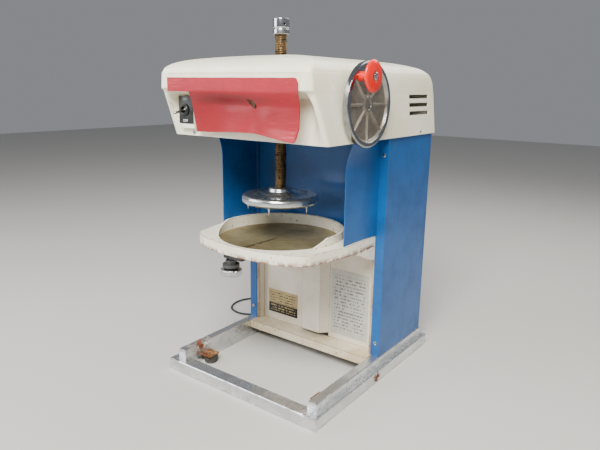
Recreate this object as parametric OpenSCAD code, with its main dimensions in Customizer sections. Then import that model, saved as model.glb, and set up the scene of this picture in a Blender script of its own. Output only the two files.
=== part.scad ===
// Electric block-ice shaver: a screw spindle presses and spins an ice block on a slotted blade table.
// Plan view: X to the handwheel side, Y to the back, Z up. The spindle stands on X = 0.

/* [Base] */
// Width of the floor frame
base_w = 370; // [330:1:440]
// Depth of the floor frame
base_d = 440; // [420:1:520]
// Height of the lower ring
ring_h = 24; // [18:1:34]
// Width of the ring's bars seen from above
ring_bar = 28; // [24:1:36]
// Step from the ring's outside to the rail on it
rail_inset = 10; // [4:1:14]
// Width of the side rails
rail_w = 19; // [14:1:24]
// Height of the side rails
rail_h = 18; // [12:1:24]
// Diameter of the rubber feet
foot_d = 30; // [24:1:36]

/* [Cabinet] */
// Height of the blue covers
cover_h = 443; // [400:1:500]
// Width of the cabinet
cabinet_w = 346; // [320:1:360]
// Depth of the cabinet
cabinet_d = 187.5; // [160:0.5:200]
// Distance from the front of the floor frame to the cabinet
cabinet_y = 239.3; // [225:0.1:250]
// Width of the front flanges
flange_w = 19.4; // [16:0.1:26]
// Sheet thickness of covers and panels
sheet_t = 1.6; // [1.2:0.1:2.4]
// Depth of the lower front panel behind the flanges
panel_recess = 20; // [12:1:28]

/* [Ice chamber] */
// Distance from the front of the floor frame to the spindle
spindle_y = 133.8; // [125:0.1:142]
// Height of the plate's top above the floor
plate_z = 287; // [250:1:310]
// Diameter of the slotted plate
plate_d = 238; // [210:1:244]
// Thickness of the slotted plate
plate_t = 6; // [4:0.5:8]
// Depth of the plate below the table's rim
plate_sink = 8; // [5:0.5:11]
// Height of the table's casting
table_h = 20; // [18:1:26]
// Height of the ring wall above the table's rim
wall_rise = 14; // [8:1:20]
// Width across the guards
guard_w = 294; // [280:1:300]
// Distance from the front of the floor frame to the guards' front edges
guard_y = 130; // [120:1:150]

/* [Press] */
// Diameter of the screw's thread
screw_d = 22; // [20:0.5:24]
// Spacing of the thread's ridges
thread_pitch = 4; // [3:0.5:6]
// Depth of the thread
thread_depth = 1.2; // [0.8:0.1:1.6]
// Diameter of the clamp disc
disc_d = 148; // [130:1:160]
// Thickness of the clamp disc's rim
disc_t = 17; // [12:1:20]
// Distance from the covers' top down to the disc's top rim at rest
disc_drop = 110; // [95:1:115]
// Length of the ice spikes
spike_len = 14; // [8:1:16]
// Number of ice spikes
spike_n = 5; // [3:1:6]
// Diameter of the stop collar
collar_d = 30.5; // [28:0.5:34]
// Height of the stop collar
collar_h = 27; // [20:1:30]
// Height of the stop collar's top above the covers at rest
collar_rise = 207.9; // [206:0.1:215]

/* [Head] */
// Thickness of the head plate
head_t = 12; // [10:1:14]
// Teeth on the drive gear
gear_teeth = 60; // [54:1:62]
// Teeth on the countershaft pinion
pinion_teeth = 15; // [13:1:17]
// Module of the spur gears
gear_module = 2.5; // [2.3:0.1:2.6]
// Thickness of the drive gear
gear_t = 12; // [10:1:14]
// Height of the handwheel's axis above the covers
wheel_rise = 62; // [61:0.5:64]
// Diameter of the handwheel
wheel_d = 141.8; // [120:0.1:150]
// Thickness of the handwheel's rim
wheel_t = 12; // [10:0.5:14]
// Distance from the middle plane to the handwheel's outer face
wheel_x = 191; // [188:0.5:196]
// Length of the grip, from its foot to the end of its head
grip_len = 30; // [26:1:44]
// Diameter of the grip's head
grip_d = 52; // [44:1:56]
// Teeth on each bevel gear
bevel_teeth = 16; // [14:1:18]
// Diameter of the countershaft's pulley
big_pulley_d = 120; // [100:1:124]
// Diameter of the motor's pulley
small_pulley_d = 45; // [40:1:50]
// Diameter of the motor
motor_d = 116; // [100:1:124]
// Length of the motor's body
motor_len = 130; // [110:1:150]

/* [Hood] */
// How far the hood's lower edge hangs below the covers' top
hood_lap = 1; // [0:0.5:1]
// Width of the hood at its lower edge
hood_w = 354; // [352:1:362]
// Wall of the hood
hood_t = 2; // [1.5:0.1:3]
// Thickness of the red vinyl sheet
vinyl_t = 1.4; // [1:0.1:2]

/* [Hidden] */
$fn = 64;

run_gap = 0.05;     // radial clearance of a shaft in its bore
side_gap = 0.4;     // end clearance between turning pieces
seat_gap = 0.3;     // clearance between pieces that sit side by side
over = 1;           // how far a cutting tool runs past a face
ring_gap = 0.4;     // gap between the plate and the ring wall
grip_sink = 4;      // how far the grip's seat lies behind the handwheel's outer face
ring_t = 5;         // thickness of the ring wall

// Where the origin lies: under the middle of the whole machine.
wheel_end = wheel_x - grip_sink + grip_len + 1 + 2 * side_gap;
brow_y = -7;
vinyl_flare = 2;    // how far the sheet's loose corner stands out
strip_y = brow_y - vinyl_t;
front_y = strip_y - vinyl_flare;
mid_x = (wheel_end - base_w / 2) / 2;
mid_y = (base_d + front_y) / 2;

deck_z = ring_h + rail_h;
cabinet_back = cabinet_y + cabinet_d;
cover_top = deck_z + cover_h;
disc_z = cover_top - disc_drop;
collar_top = cover_top + collar_rise;
wheel_z = cover_top + wheel_rise;
hood_z = cover_top - hood_lap;
head_z = cover_top + 1;
head_top = head_z + head_t;
rim_z = plate_z + plate_sink;
table_z = rim_z - table_h;
table_back = cabinet_y + sheet_t + seat_gap;
screw_r = screw_d / 2;
key_w = 5;
key_depth = 3;
key_angle = 240;
gear_z = head_top + 3;
gear_r = gear_teeth * gear_module / 2;
pinion_r = pinion_teeth * gear_module / 2;
counter_y = spindle_y + gear_r + pinion_r;
bush_r = 25;
sleeve_r = 20;
bevel_r = 22;
bevel_cone = bevel_r * sqrt(2);
bevel_face = 8;
bevel_tooth = 2.2;
nut_r = 15;
nut_z = wheel_z + bevel_r;
bridge_t = 8;
bridge_z = nut_z + 29;
bridge_top = bridge_z + bridge_t;
pillar_x = 68;
pillar_y = 60;
pillar_r = 7;
counter_r = 8;
pulley_z = wheel_z + 13;
pulley_t = 18;
groove_d = 8;
belt_gap = 0.5;
motor_y = counter_y + 118;
motor_r = motor_d / 2;
motor_shaft_r = 7;
wheel_r = wheel_d / 2;
wheel_shaft_r = 8;
wheel_hub_r = 14;
grip_at = 0.79 * wheel_r;
grip_turn = 36;
grip_y = spindle_y - grip_at * sin(grip_turn);
grip_z = wheel_z + grip_at * cos(grip_turn);
grip_stem_r = 7.5;
grip_head_t = 8;
bolt_r = 3;
stud_x = -34;
stud_y = 30;
stud_r = 4;
disc_r = disc_d / 2;
disc_low = disc_z - disc_t;
collar_z = collar_top - collar_h;
louvre_w = 86;
louvre_h = 7.4;
louvre_step = 15.8;
switch_x = -134;
switch_y = 21;
switch_z = hood_z + 47;
hood_shift = hood_z - 484; // the hood's outlines below are for a lower edge at 484

module place() translate([-mid_x, -mid_y, 0]) children();
module at_spindle() place() translate([0, spindle_y, 0]) children();
module mirrored() { children(); mirror([1, 0, 0]) children(); }
module tube(r1, r2, h) difference() { cylinder(r = r1, h = h); translate([0, 0, -over])
    cylinder(r = r2, h = h + 2 * over); }
// A shaft or bore along +X.
module along_x(r, len) rotate([0, 90, 0]) cylinder(r = r, h = len);

// ---- base frame ----
module base_ring() place() color("silver") difference() {
    translate([-base_w / 2, 0, 0]) cube([base_w, base_d, ring_h]);
    translate([-base_w / 2 + ring_bar, ring_bar, -over])
        cube([base_w - 2 * ring_bar, base_d - 2 * ring_bar, ring_h + 2 * over]);
}
module rail() translate([base_w / 2 - rail_inset - rail_w, ring_bar * 0.6, ring_h])
    cube([rail_w, base_d - ring_bar * 0.6 - rail_inset, rail_h]);
module right_rail() place() color("silver") rail();
module left_rail() place() color("silver") mirror([1, 0, 0]) rail();
cross_y = cabinet_y - 20;
cross_half = base_w / 2 - rail_inset - rail_w;
module cross_rail() place() color("wheat") {
    translate([-cross_half, cross_y, ring_h]) cube([2 * cross_half, 4, rail_h]);
    translate([-cross_half, cross_y, deck_z - 4]) cube([2 * cross_half, panel_recess * 2, 4]);
}
foot_in = ring_bar + foot_d / 2 + 1;
foot_y = 75;
bracket_lip = 5;
module at_feet() for (x = [-1, 1], y = [foot_y, base_d - foot_y])
    translate([x * (base_w / 2 - foot_in), y, 0]) children();
module rubber_feet() place() color("dimgray") at_feet() {
    cylinder(r1 = foot_d / 2 - 2, r2 = foot_d / 2, h = 12);
    translate([0, 0, 12]) cylinder(r = foot_d / 2 - 5, h = 3);
}
module foot_brackets() place() color("peru") mirrored() for (y = [foot_y, base_d - foot_y])
    translate([base_w / 2 - foot_in - foot_d / 2 + bracket_lip, y - foot_d / 2, 15])
        cube([foot_d + 1 - bracket_lip, foot_d, 3]);

// ---- cabinet ----
post_x = cabinet_w / 2 - flange_w - 4;
module post() translate([post_x, 0, deck_z]) {
    translate([0, cabinet_y + sheet_t + seat_gap, 0]) cube([3, 30, cover_h + 1]);
    translate([0, cabinet_y + sheet_t + seat_gap, 0]) cube([flange_w, 3, cover_h + 1]);
}
module right_post() place() color("wheat") post();
module left_post() place() color("wheat") mirror([1, 0, 0]) post();
module side_cover() translate([0, 0, deck_z]) {
    translate([cabinet_w / 2 - sheet_t, cabinet_y, 0]) cube([sheet_t, cabinet_d - sheet_t - seat_gap,
        cover_h]);
    translate([cabinet_w / 2 - flange_w, cabinet_y, 0]) cube([flange_w, sheet_t, cover_h]);
    translate([cabinet_w / 2 - 16, cabinet_back - 2 * sheet_t - seat_gap, 0]) cube([16, sheet_t, cover_h]);
}
module right_cover() place() color("royalblue") side_cover();
module left_cover() place() color("royalblue") mirror([1, 0, 0]) side_cover();
gland_x = -120;
gland_z = 70;
gland_r = 8;
module back_cover() place() color("royalblue") difference() {
    translate([-cabinet_w / 2, cabinet_back - sheet_t, deck_z]) cube([cabinet_w, sheet_t, cover_h]);
    translate([gland_x, cabinet_back + over, gland_z]) rotate([90, 0, 0]) cylinder(r = gland_r, h = 6);
    for (i = [0:4], x = [-1, 1])
        translate([x * 60 - 40, cabinet_back - sheet_t - over, deck_z + 90 + i * 18]) cube([80, 4, 7]);
}
panel_y = cabinet_y + panel_recess;
panel_half = cabinet_w / 2 - flange_w - 5;
panel_h = table_z - deck_z - 4;
column_front = 17;
column_half = 23.5;
column_foot = 38;
column_gap = 9;
module lower_front_panel() place() color("antiquewhite") translate([0, panel_y, deck_z]) {
    difference() {
        translate([-panel_half, 0, 0]) cube([2 * panel_half, sheet_t, panel_h]);
        translate([-column_foot + sheet_t, -over, -over])
            cube([2 * (column_foot - sheet_t), 4, panel_h + 2 * over]);
    }
    translate([0, 0, column_gap]) linear_extrude(height = panel_h - column_gap) difference() {
        polygon([[-column_foot, sheet_t], [-column_foot, 0], [-column_half, -column_front],
            [column_half, -column_front], [column_foot, 0], [column_foot, sheet_t]]);
        polygon([[-column_foot + 2 * sheet_t, 2 * sheet_t], [-column_foot + 2 * sheet_t, sheet_t],
            [-column_half + sheet_t, sheet_t - column_front], [column_half - sheet_t, sheet_t - column_front],
            [column_foot - 2 * sheet_t, sheet_t], [column_foot - 2 * sheet_t, 2 * sheet_t]]);
    }
    for (x = [-1, 1]) translate([x * (panel_half - sheet_t / 2) - sheet_t / 2, -panel_recess + 4, 0])
        cube([sheet_t, panel_recess - 4, panel_h]);
}
module nameplate() place() color("tan") translate([-132, panel_y - 0.8, 60]) cube([83, 0.8, 56]);
module instruction_label() place() color("ivory") translate([42, panel_y - 0.6, 54]) cube([92, 0.6, 146]);
// Back of the ice chamber: a shallow curved sheet that stands on the table behind the ring wall.
back_half = post_x - 0.6;
back_edge = cabinet_y + 7.7;
back_mid = spindle_y + plate_d / 2 + ring_gap + ring_t + 1.8;
back_bow = back_mid - back_edge;
back_r = (back_half * back_half + back_bow * back_bow) / (2 * back_bow);
module chamber_back_panel() place() color("navy") intersection() {
    translate([0, back_mid - back_r, 0]) tube(back_r + sheet_t, back_r, cover_top);
    translate([-back_half, back_edge, rim_z + seat_gap])
        cube([2 * back_half, back_bow + 2 * sheet_t, cover_top - rim_z - seat_gap]);
}

// Guards: flat below, the front edge swept outwards under the hood.
guard_top = hood_z + 8;
guard_low = rim_z + 0.5;
guard_rows = 12;
guard_cols = 5;
function guard_flare(u, v) = 20 * pow(max(0, (v - 0.7) / 0.3), 2) * (1 - u);
function guard_point(u, v, out) = [
    guard_w / 2 + guard_flare(u, v) + out + 5 * pow(u, 3),
    guard_y + (cabinet_y - 0.5 - guard_y) * u,
    guard_low + (guard_top - guard_low) * v];
module sheet(side_a, side_b, rows, cols) {
    wide = cols + 1;
    n = (rows + 1) * wide;
    faces_a = [for (i = [0:rows - 1], j = [0:cols - 1])
        each [[i * wide + j, (i + 1) * wide + j, (i + 1) * wide + j + 1],
            [i * wide + j, (i + 1) * wide + j + 1, i * wide + j + 1]]];
    faces_b = [for (f = faces_a) [f[0] + n, f[2] + n, f[1] + n]];
    rim = concat([for (j = [0:cols]) j], [for (i = [1:rows]) i * wide + cols],
        [for (j = [cols - 1:-1:0]) rows * wide + j], [for (i = [rows - 1:-1:1]) i * wide]);
    edge = [for (k = [0:len(rim) - 1]) let (a = rim[k], b = rim[(k + 1) % len(rim)])
        each [[a, b, b + n], [a, b + n, a + n]]];
    polyhedron(points = concat(side_a, side_b), faces = concat(faces_a, faces_b, edge), convexity = 6);
}
module guard() sheet(
    [for (i = [0:guard_rows], j = [0:guard_cols]) guard_point(j / guard_cols, i / guard_rows, sheet_t)],
    [for (i = [0:guard_rows], j = [0:guard_cols]) guard_point(j / guard_cols, i / guard_rows, 0)],
    guard_rows, guard_cols);
module right_guard() place() color("royalblue") guard();
module left_guard() place() color("royalblue") mirror([1, 0, 0]) guard();

// ---- blade table ----
bow_r = 349;
table_front = 8;
corner_r = 32;
side_front = 137;
side_back = 153.2;
// Plan outline, kept in by an inset: bowed front, round corners, sides that spread towards the cabinet.
function table_plan(inset) = let (
    cx = side_front - corner_r - 1, cy = table_front + 54,
    half = [for (a = [0:4:16]) [(bow_r - inset) * sin(a), table_front + bow_r - (bow_r - inset) * cos(a)]],
    corner = [for (a = [-70:15:-10]) [cx + (corner_r - inset) * cos(a), cy + (corner_r - inset) * sin(a)]],
    right = concat(half, corner, [[side_back - inset, spindle_y + 6],
        [side_back - inset, table_back - inset]]))
    concat(right, [for (i = [len(right) - 1:-1:1]) [-right[i][0], right[i][1]]]);
wall_in = plate_d / 2 + ring_gap;
wall_out = wall_in + ring_t;
ledge_in = plate_d / 2 - 11;
module skirt() translate([side_back - 6, 0, 0]) rotate([90, 0, 90]) linear_extrude(height = 5.9)
    polygon([[spindle_y + 8, rim_z - 4], [table_back - 0.2, rim_z - 4], [table_back - 0.2, 243], [222, 249],
        [200, 258], [178, 268], [154, table_z - 1], [spindle_y + 8, table_z]]);
// Ring wall round the back; a slanted cut on each side slopes its ends down to the rim.
ramp_left = [22, 84];
ramp_right = [14, 46];
module ramp_cut(x, ramp) translate([x, spindle_y, rim_z]) rotate([90, 0, 90]) linear_extrude(height = 200)
    polygon([[-200, 0.01], [-ramp[1], 0.01], [-ramp[0], wall_rise + 0.01], [-ramp[0], wall_rise + over],
        [-200, wall_rise + over]]);
module ring_wall() difference() {
    translate([0, spindle_y, rim_z - 1]) tube(wall_out, wall_in, wall_rise + 1);
    ramp_cut(-200, ramp_left);
    ramp_cut(0, ramp_right);
}
module table() place() color("ivory") {
    difference() {
        union() {
            translate([0, 0, table_z]) linear_extrude(height = table_h) polygon(table_plan(0));
            translate([-back_half + 1, table_back - 8, table_z])
                cube([2 * back_half - 2, back_mid + 3 - table_back + 8, table_h]);
        }
        translate([0, 0, table_z - over]) linear_extrude(height = table_h - plate_sink - plate_t - 2 + over)
            difference() { polygon(table_plan(6)); translate([0, spindle_y]) circle(r = ledge_in + 6); }
        translate([0, spindle_y, plate_z - plate_t]) cylinder(r = wall_in, h = plate_t + plate_sink + over);
        translate([0, spindle_y, table_z - over]) cylinder(r = ledge_in, h = table_h + over);
        translate([stud_x, stud_y, table_z - over]) cylinder(r = stud_r + run_gap, h = table_h);
    }
    ring_wall();
    mirrored() skirt();
}
slot_angle = 266;
slot_w = 9;
slot_in = 8;
slot_out = 108;
module blade_plate() at_spindle() color("darkkhaki") difference() {
    translate([0, 0, plate_z - plate_t]) cylinder(r = plate_d / 2, h = plate_t, $fn = 128);
    rotate([0, 0, slot_angle]) translate([slot_in, -slot_w / 2, plate_z - plate_t - over])
        cube([slot_out - slot_in, slot_w, plate_t + 2 * over]);
    translate([0, 0, plate_z - 1]) cylinder(r = 6, h = 2);
}
// The blade lies in the slot, on a seat under the plate that the knob lifts.
blade_tilt = 12;
module blade() at_spindle() color("silver") rotate([0, 0, slot_angle])
    translate([slot_in + 3, 0, plate_z - 3.6])
    rotate([blade_tilt, 0, 0]) translate([0, -2.6, 0]) cube([slot_out - slot_in - 6, 5.6, 2.4]);
seat_z = plate_z - plate_t - 10;
yoke_z = seat_z - 7;
module blade_seat() color("gray") {
    at_spindle() rotate([0, 0, slot_angle]) {
        translate([slot_in + 3, -2.4, seat_z]) cube([slot_out - slot_in - 6, 4.8, 11.6]);
        translate([slot_in, -12, seat_z]) cube([slot_out - slot_in - 8, 24, 6]);
    }
    place() difference() {
        translate([stud_x - 10, stud_y - 9, yoke_z]) cube([10 - stud_x, 34, seat_z - yoke_z + 0.5]);
        translate([stud_x, stud_y, yoke_z - over]) cylinder(r = stud_r + seat_gap, h = 12);
    }
}
knob_z = 230;
knob_h = 16;
nut_low = knob_z + knob_h + side_gap;
module knob_stud() place() color("silver") translate([stud_x, stud_y, knob_z])
    cylinder(r = stud_r, h = plate_z - plate_t - 0.6 - knob_z);
module knob_locknut() place() color("dimgray") translate([stud_x, stud_y, nut_low]) difference() {
    union() {
        cylinder(r = 16, h = 6);
        translate([0, 0, 6]) cylinder(r = 11, h = 8, $fn = 6);
    }
    translate([0, 0, -over]) cylinder(r = stud_r, h = 20);
}
module blade_knob() place() color("silver") translate([stud_x, stud_y, knob_z]) difference() {
    union() {
        cylinder(r = 19, h = knob_h - 4);
        translate([0, 0, knob_h - 4]) cylinder(r1 = 19, r2 = 11, h = 4);
        for (a = [0:30:330]) rotate([0, 0, a]) translate([19, 0, 0])
            cylinder(r = 1.6, h = knob_h - 4, $fn = 16);
    }
    translate([0, 0, -over]) cylinder(r = stud_r, h = 30);
}

// ---- head ----
module head_plate() place() color("gray") difference() {
    union() {
        translate([-150, 48, head_z]) cube([300, cabinet_back - 10 - 48, head_t]);
        translate([0, spindle_y, head_z - 8]) cylinder(r = bush_r + 8, h = head_t + 8);
        translate([0, counter_y, head_z - 14]) cylinder(r = counter_r + 8, h = head_t + 14);
    }
    translate([0, spindle_y, head_z - 20]) cylinder(r = bush_r, h = 60);
    translate([0, counter_y, head_z - 20]) cylinder(r = counter_r + run_gap, h = 60);
    translate([0, motor_y, head_z - 20]) cylinder(r = 20, h = 60);
}
module spindle_bush() at_spindle() color("goldenrod") translate([0, 0, head_z - 8])
    tube(bush_r, sleeve_r + run_gap, head_t + 9);
module bridge_pillars() at_spindle() color("gray") for (x = [-1, 1], y = [-1, 1])
    translate([x * pillar_x, y * pillar_y, head_top]) cylinder(r = pillar_r, h = bridge_z - head_top);
module head_bridge() place() color("gray") difference() {
    translate([-pillar_x - 12, spindle_y - pillar_y - 12, bridge_z])
        cube([2 * pillar_x + 24, counter_y + 22 - spindle_y + pillar_y + 12, bridge_t]);
    translate([0, spindle_y, bridge_z - over]) cylinder(r = nut_r + run_gap, h = bridge_t + 2 * over);
    translate([0, counter_y, bridge_z - over]) cylinder(r = counter_r + run_gap, h = bridge_t + 2 * over);
}
// Spur gear outline: flat-sided teeth, thinner than the gaps so that a pair runs free.
function gear_plan(teeth, m, thin) = let (r = teeth * m / 2, step = 360 / teeth,
    half = step / 4 - thin / r * 57.3)
    [for (i = [0:teeth - 1]) each [
        [(r - 1.2 * m) * cos(i * step - half * 1.7), (r - 1.2 * m) * sin(i * step - half * 1.7)],
        [(r + 0.9 * m) * cos(i * step - half * 0.45), (r + 0.9 * m) * sin(i * step - half * 0.45)],
        [(r + 0.9 * m) * cos(i * step + half * 0.45), (r + 0.9 * m) * sin(i * step + half * 0.45)],
        [(r - 1.2 * m) * cos(i * step + half * 1.7), (r - 1.2 * m) * sin(i * step + half * 1.7)]]];
module drive_gear() at_spindle() color("gray") {
    difference() {
        union() {
            translate([0, 0, gear_z]) rotate([0, 0, 90]) linear_extrude(height = gear_t)
                polygon(gear_plan(gear_teeth, gear_module, 0.25));
            translate([0, 0, head_z - 9]) cylinder(r = sleeve_r, h = gear_z + gear_t + 6 - head_z + 9);
            translate([0, 0, head_top + 1 + side_gap]) cylinder(r = bush_r + 3, h = gear_z - head_top - 1);
        }
        translate([0, 0, head_z - 10]) cylinder(r = screw_r + run_gap, h = 80);
        for (a = [0:60:300]) rotate([0, 0, a]) translate([46, 0, gear_z - over])
            cylinder(r = 13, h = gear_t + 2 * over);
    }
    rotate([0, 0, key_angle]) translate([screw_r - key_depth + seat_gap, -key_w / 2 + seat_gap, head_z - 9])
        cube([key_depth + 1, key_w - 2 * seat_gap, gear_z + gear_t + 6 - head_z + 9]);
}
thread_low = disc_z + 13;
thread_n = floor((collar_z - thread_low) / thread_pitch);
module screw_shaft() at_spindle() color("darkgoldenrod") difference() {
    rotate_extrude() polygon(concat(
        [[0, disc_low + 2], [screw_r - thread_depth, disc_low + 2]],
        [for (i = [0:thread_n - 1]) each [
            [screw_r - thread_depth, thread_low + i * thread_pitch],
            [screw_r, thread_low + (i + 0.3) * thread_pitch],
            [screw_r, thread_low + (i + 0.6) * thread_pitch],
            [screw_r - thread_depth, thread_low + (i + 0.9) * thread_pitch]]],
        [[screw_r - thread_depth, collar_top - 6], [0, collar_top - 6]]));
    rotate([0, 0, key_angle]) translate([screw_r - key_depth, -key_w / 2, thread_low + 4])
        cube([key_depth + over, key_w, collar_z - thread_low - 6]);
}
shank_r = screw_r - thread_depth;
module stop_collar() at_spindle() color("silver") difference() {
    translate([0, 0, collar_z]) rotate_extrude() polygon([[shank_r, 0], [collar_d / 2, 0], [collar_d / 2, 8],
        [collar_d / 2 - 1.5, 9], [collar_d / 2 - 1.5, 10.5], [collar_d / 2, 11.5],
            [collar_d / 2, collar_h - 2],
        [collar_d / 2 - 2, collar_h], [0, collar_h], [0, collar_h - 6], [shank_r, collar_h - 6]]);
    translate([0, 0, collar_z + 15]) rotate([0, 0, -30]) along_x(2, collar_d);
}
spike_r = 2.5;
spike_tip_r = 0.6;
spike_root = 9;     // how deep a spike is pressed into the disc
spike_ring = disc_r * 0.84;
module at_spikes() for (i = [0:spike_n - 1]) rotate([0, 0, i * 360 / spike_n + 1])
    translate([spike_ring, 0, disc_low]) children();
module clamp_disc() at_spindle() color("silver") difference() {
    translate([0, 0, disc_low]) rotate_extrude($fn = 96)
        polygon([[0, 0], [disc_r - 3, 0], [disc_r, 3], [disc_r, disc_t - 4],
        [disc_r - 4, disc_t], [40, disc_t], [36, disc_t + 3], [24, disc_t + 4], [23, disc_t + 10],
            [19, disc_t + 13], [0, disc_t + 13]]);
    translate([0, 0, disc_low + 2]) cylinder(r = shank_r, h = 60);
    at_spikes() translate([0, 0, -over]) cylinder(r = spike_r, h = spike_root + 2 * over);
}
module ice_spikes() at_spindle() color("silver") at_spikes() {
    cylinder(r = spike_r, h = spike_root);
    translate([0, 0, -spike_len]) cylinder(r1 = spike_tip_r, r2 = spike_r, h = spike_len);
}
// One bevel tooth on a 45 degree pitch cone whose apex is the origin and whose axis is +Z.
function cone_at(dist, lift, side) = [dist * sin(45) + lift * cos(45), side, dist * cos(45) - lift * sin(45)];
module bevel_tooth_solid() {
    lo = bevel_cone - bevel_face - 0.5;
    hi = bevel_cone + 0.5;
    w = 3.4;
    // Both ends are the same shape, scaled by their distance from the apex, so every side is flat.
    function end(d) = let (k = d / bevel_cone) [
        cone_at(d, -(bevel_tooth + 0.8) * k, -w * 0.6 * k), cone_at(d, -(bevel_tooth + 0.8) * k, w * 0.6 * k),
        cone_at(d, bevel_tooth * 0.8 * k, w * 0.25 * k), cone_at(d, bevel_tooth * 0.8 * k, -w * 0.25 * k)];
    polyhedron(points = concat(end(lo), end(hi)),
        faces = [[3, 2, 1, 0], [4, 5, 6, 7], [1, 5, 4, 0], [2, 6, 5, 1], [3, 7, 6, 2], [0, 4, 7, 3]]);
}
module bevel_gear(phase, hub_r, hub_len) {
    a = cone_at(bevel_cone, -bevel_tooth, 0);
    b = cone_at(bevel_cone - bevel_face, -bevel_tooth * (1 - bevel_face / bevel_cone), 0);
    rotate_extrude() polygon([[0, b[2]], [b[0], b[2]], [a[0], a[2]], [a[0] - 1, a[2] + 4], [hub_r, a[2] + 4],
        [hub_r, a[2] + hub_len], [0, a[2] + hub_len]]);
    for (i = [0:bevel_teeth - 1]) rotate([0, 0, phase + i * 360 / bevel_teeth]) bevel_tooth_solid();
}
module feed_nut() at_spindle() color("goldenrod") translate([0, 0, wheel_z]) difference() {
    bevel_gear(180 / bevel_teeth, nut_r, bridge_top + 4 - wheel_z - bevel_r);
    cylinder(r = screw_r + run_gap, h = 100);
}
module bevel_pinion() at_spindle() color("gray") translate([0, 0, wheel_z]) rotate([0, 90, 0]) difference() {
    bevel_gear(0, 13, 16);
    cylinder(r = wheel_shaft_r, h = 100);
}
shaft_in = 16;
module handwheel_shaft() at_spindle() color("silver") translate([shaft_in, 0, wheel_z])
    along_x(wheel_shaft_r, wheel_x - 5 - shaft_in);
bearing_x = 118;
bearing_t = 26;
module handwheel_bearing() at_spindle() color("gray") difference() {
    union() {
        translate([bearing_x, -16, head_top]) cube([bearing_t, 32, wheel_z - head_top]);
        translate([bearing_x, 0, wheel_z]) along_x(16, bearing_t);
    }
    translate([bearing_x - over, 0, wheel_z]) along_x(wheel_shaft_r + run_gap, bearing_t + 2 * over);
}
module at_wheel() at_spindle() translate([wheel_x, 0, wheel_z]) rotate([0, 90, 0]) children();
module handwheel() at_wheel() color("lightgray") difference() {
    union() {
        translate([0, 0, -wheel_t]) rotate_extrude($fn = 96)
            polygon([[0, 2], [wheel_r - 12, 2], [wheel_r - 9, 0],
            [wheel_r - 2, 0], [wheel_r, 2], [wheel_r, wheel_t - 2], [wheel_r - 2, wheel_t],
                [wheel_r - 7, wheel_t],
            [wheel_r - 10, 6], [wheel_hub_r + 6, 5], [wheel_hub_r, 9], [0, 9]]);
        for (a = [0:45:315]) rotate([0, 0, a]) translate([wheel_hub_r - 3, -1.2, -wheel_t + 4])
            cube([wheel_r - wheel_hub_r - 6, 2.4, 4]);
        translate([wheel_z - grip_z, grip_y - spindle_y, 4 - wheel_t])
            cylinder(r = 8, h = wheel_t - 4 - grip_sink);
    }
    translate([0, 0, -wheel_t - over]) cylinder(r = wheel_shaft_r, h = 30);
    translate([wheel_z - grip_z, grip_y - spindle_y, -wheel_t - over]) cylinder(r = bolt_r, h = 30);
    // a turned seat lets the grip's foot pass the rim's inner slope
    translate([wheel_z - grip_z, grip_y - spindle_y, -grip_sink])
        cylinder(r = grip_stem_r + 2 * side_gap, h = grip_sink + over);
}
module at_grip() place() translate([wheel_x - grip_sink, grip_y, grip_z]) rotate([0, 90, 0]) children();
module wheel_grip() at_grip() color("orangered") translate([0, 0, side_gap]) difference() {
    rotate_extrude() polygon([[0, 0], [grip_stem_r, 0], [grip_stem_r, grip_len - grip_head_t - 5],
        [grip_stem_r + 3, grip_len - grip_head_t - 1],
        [grip_d / 2 - 2, grip_len - grip_head_t], [grip_d / 2, grip_len - grip_head_t + 2],
            [grip_d / 2, grip_len - 4],
        [grip_d / 2 - 4, grip_len - 1], [9, grip_len], [8, grip_len - 2], [0, grip_len - 2]]);
    translate([0, 0, -over]) cylinder(r = bolt_r + run_gap, h = grip_len + 4);
}
module grip_bolt() at_grip() color("silver") {
    translate([0, 0, grip_sink - wheel_t + 1])
        cylinder(r = bolt_r, h = grip_len + wheel_t - grip_sink - 0.5);
    translate([0, 0, grip_len - 2 + side_gap * 2]) cylinder(r = 6, h = 3);
}
module at_counter() place() translate([0, counter_y, 0]) children();
module countershaft() at_counter() color("silver") translate([0, 0, head_z - 16])
    cylinder(r = counter_r, h = bridge_top + 2 - head_z + 16);
module counter_pinion() at_counter() color("gray") difference() {
    translate([0, 0, gear_z - 1]) rotate([0, 0, 90 + 180 / pinion_teeth * (pinion_teeth % 2 == 1 ? 0 : 1)])
        linear_extrude(height = gear_t + 2) polygon(gear_plan(pinion_teeth, gear_module, 0.25));
    translate([0, 0, gear_z - 2]) cylinder(r = counter_r, h = gear_t + 5);
}
module pulley(d, bore) difference() {
    rotate_extrude($fn = 96) polygon([[0, 0], [d / 2, 0], [d / 2, 2.5], [d / 2 - groove_d, 6],
        [d / 2 - groove_d, pulley_t - 6],
        [d / 2, pulley_t - 2.5], [d / 2, pulley_t], [0, pulley_t]]);
    translate([0, 0, -over]) cylinder(r = bore, h = pulley_t + 2 * over);
}
module big_pulley() at_counter() color("gray") translate([0, 0, pulley_z]) pulley(big_pulley_d, counter_r);
module at_motor() place() translate([0, motor_y, 0]) children();
module motor_pulley() at_motor() color("gray") translate([0, 0, pulley_z])
    pulley(small_pulley_d, motor_shaft_r);
module motor_shaft() at_motor() color("silver") translate([0, 0, head_z - 10])
    cylinder(r = motor_shaft_r, h = pulley_z + pulley_t + 2 - head_z + 10);
module motor_body() at_motor() color("darkslategray") difference() {
    union() {
        translate([0, 0, head_z - 2 - motor_len]) cylinder(r = motor_r, h = motor_len - 4);
        translate([0, 0, head_z - 6]) cylinder(r = motor_r + 3, h = 6);
        for (a = [0:20:340]) rotate([0, 0, a]) translate([motor_r - 1, -1, head_z - motor_len + 10])
            cube([4, 2, motor_len - 30]);
    }
    translate([0, 0, head_z - 12]) cylinder(r = motor_shaft_r + run_gap, h = 20);
}
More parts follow.
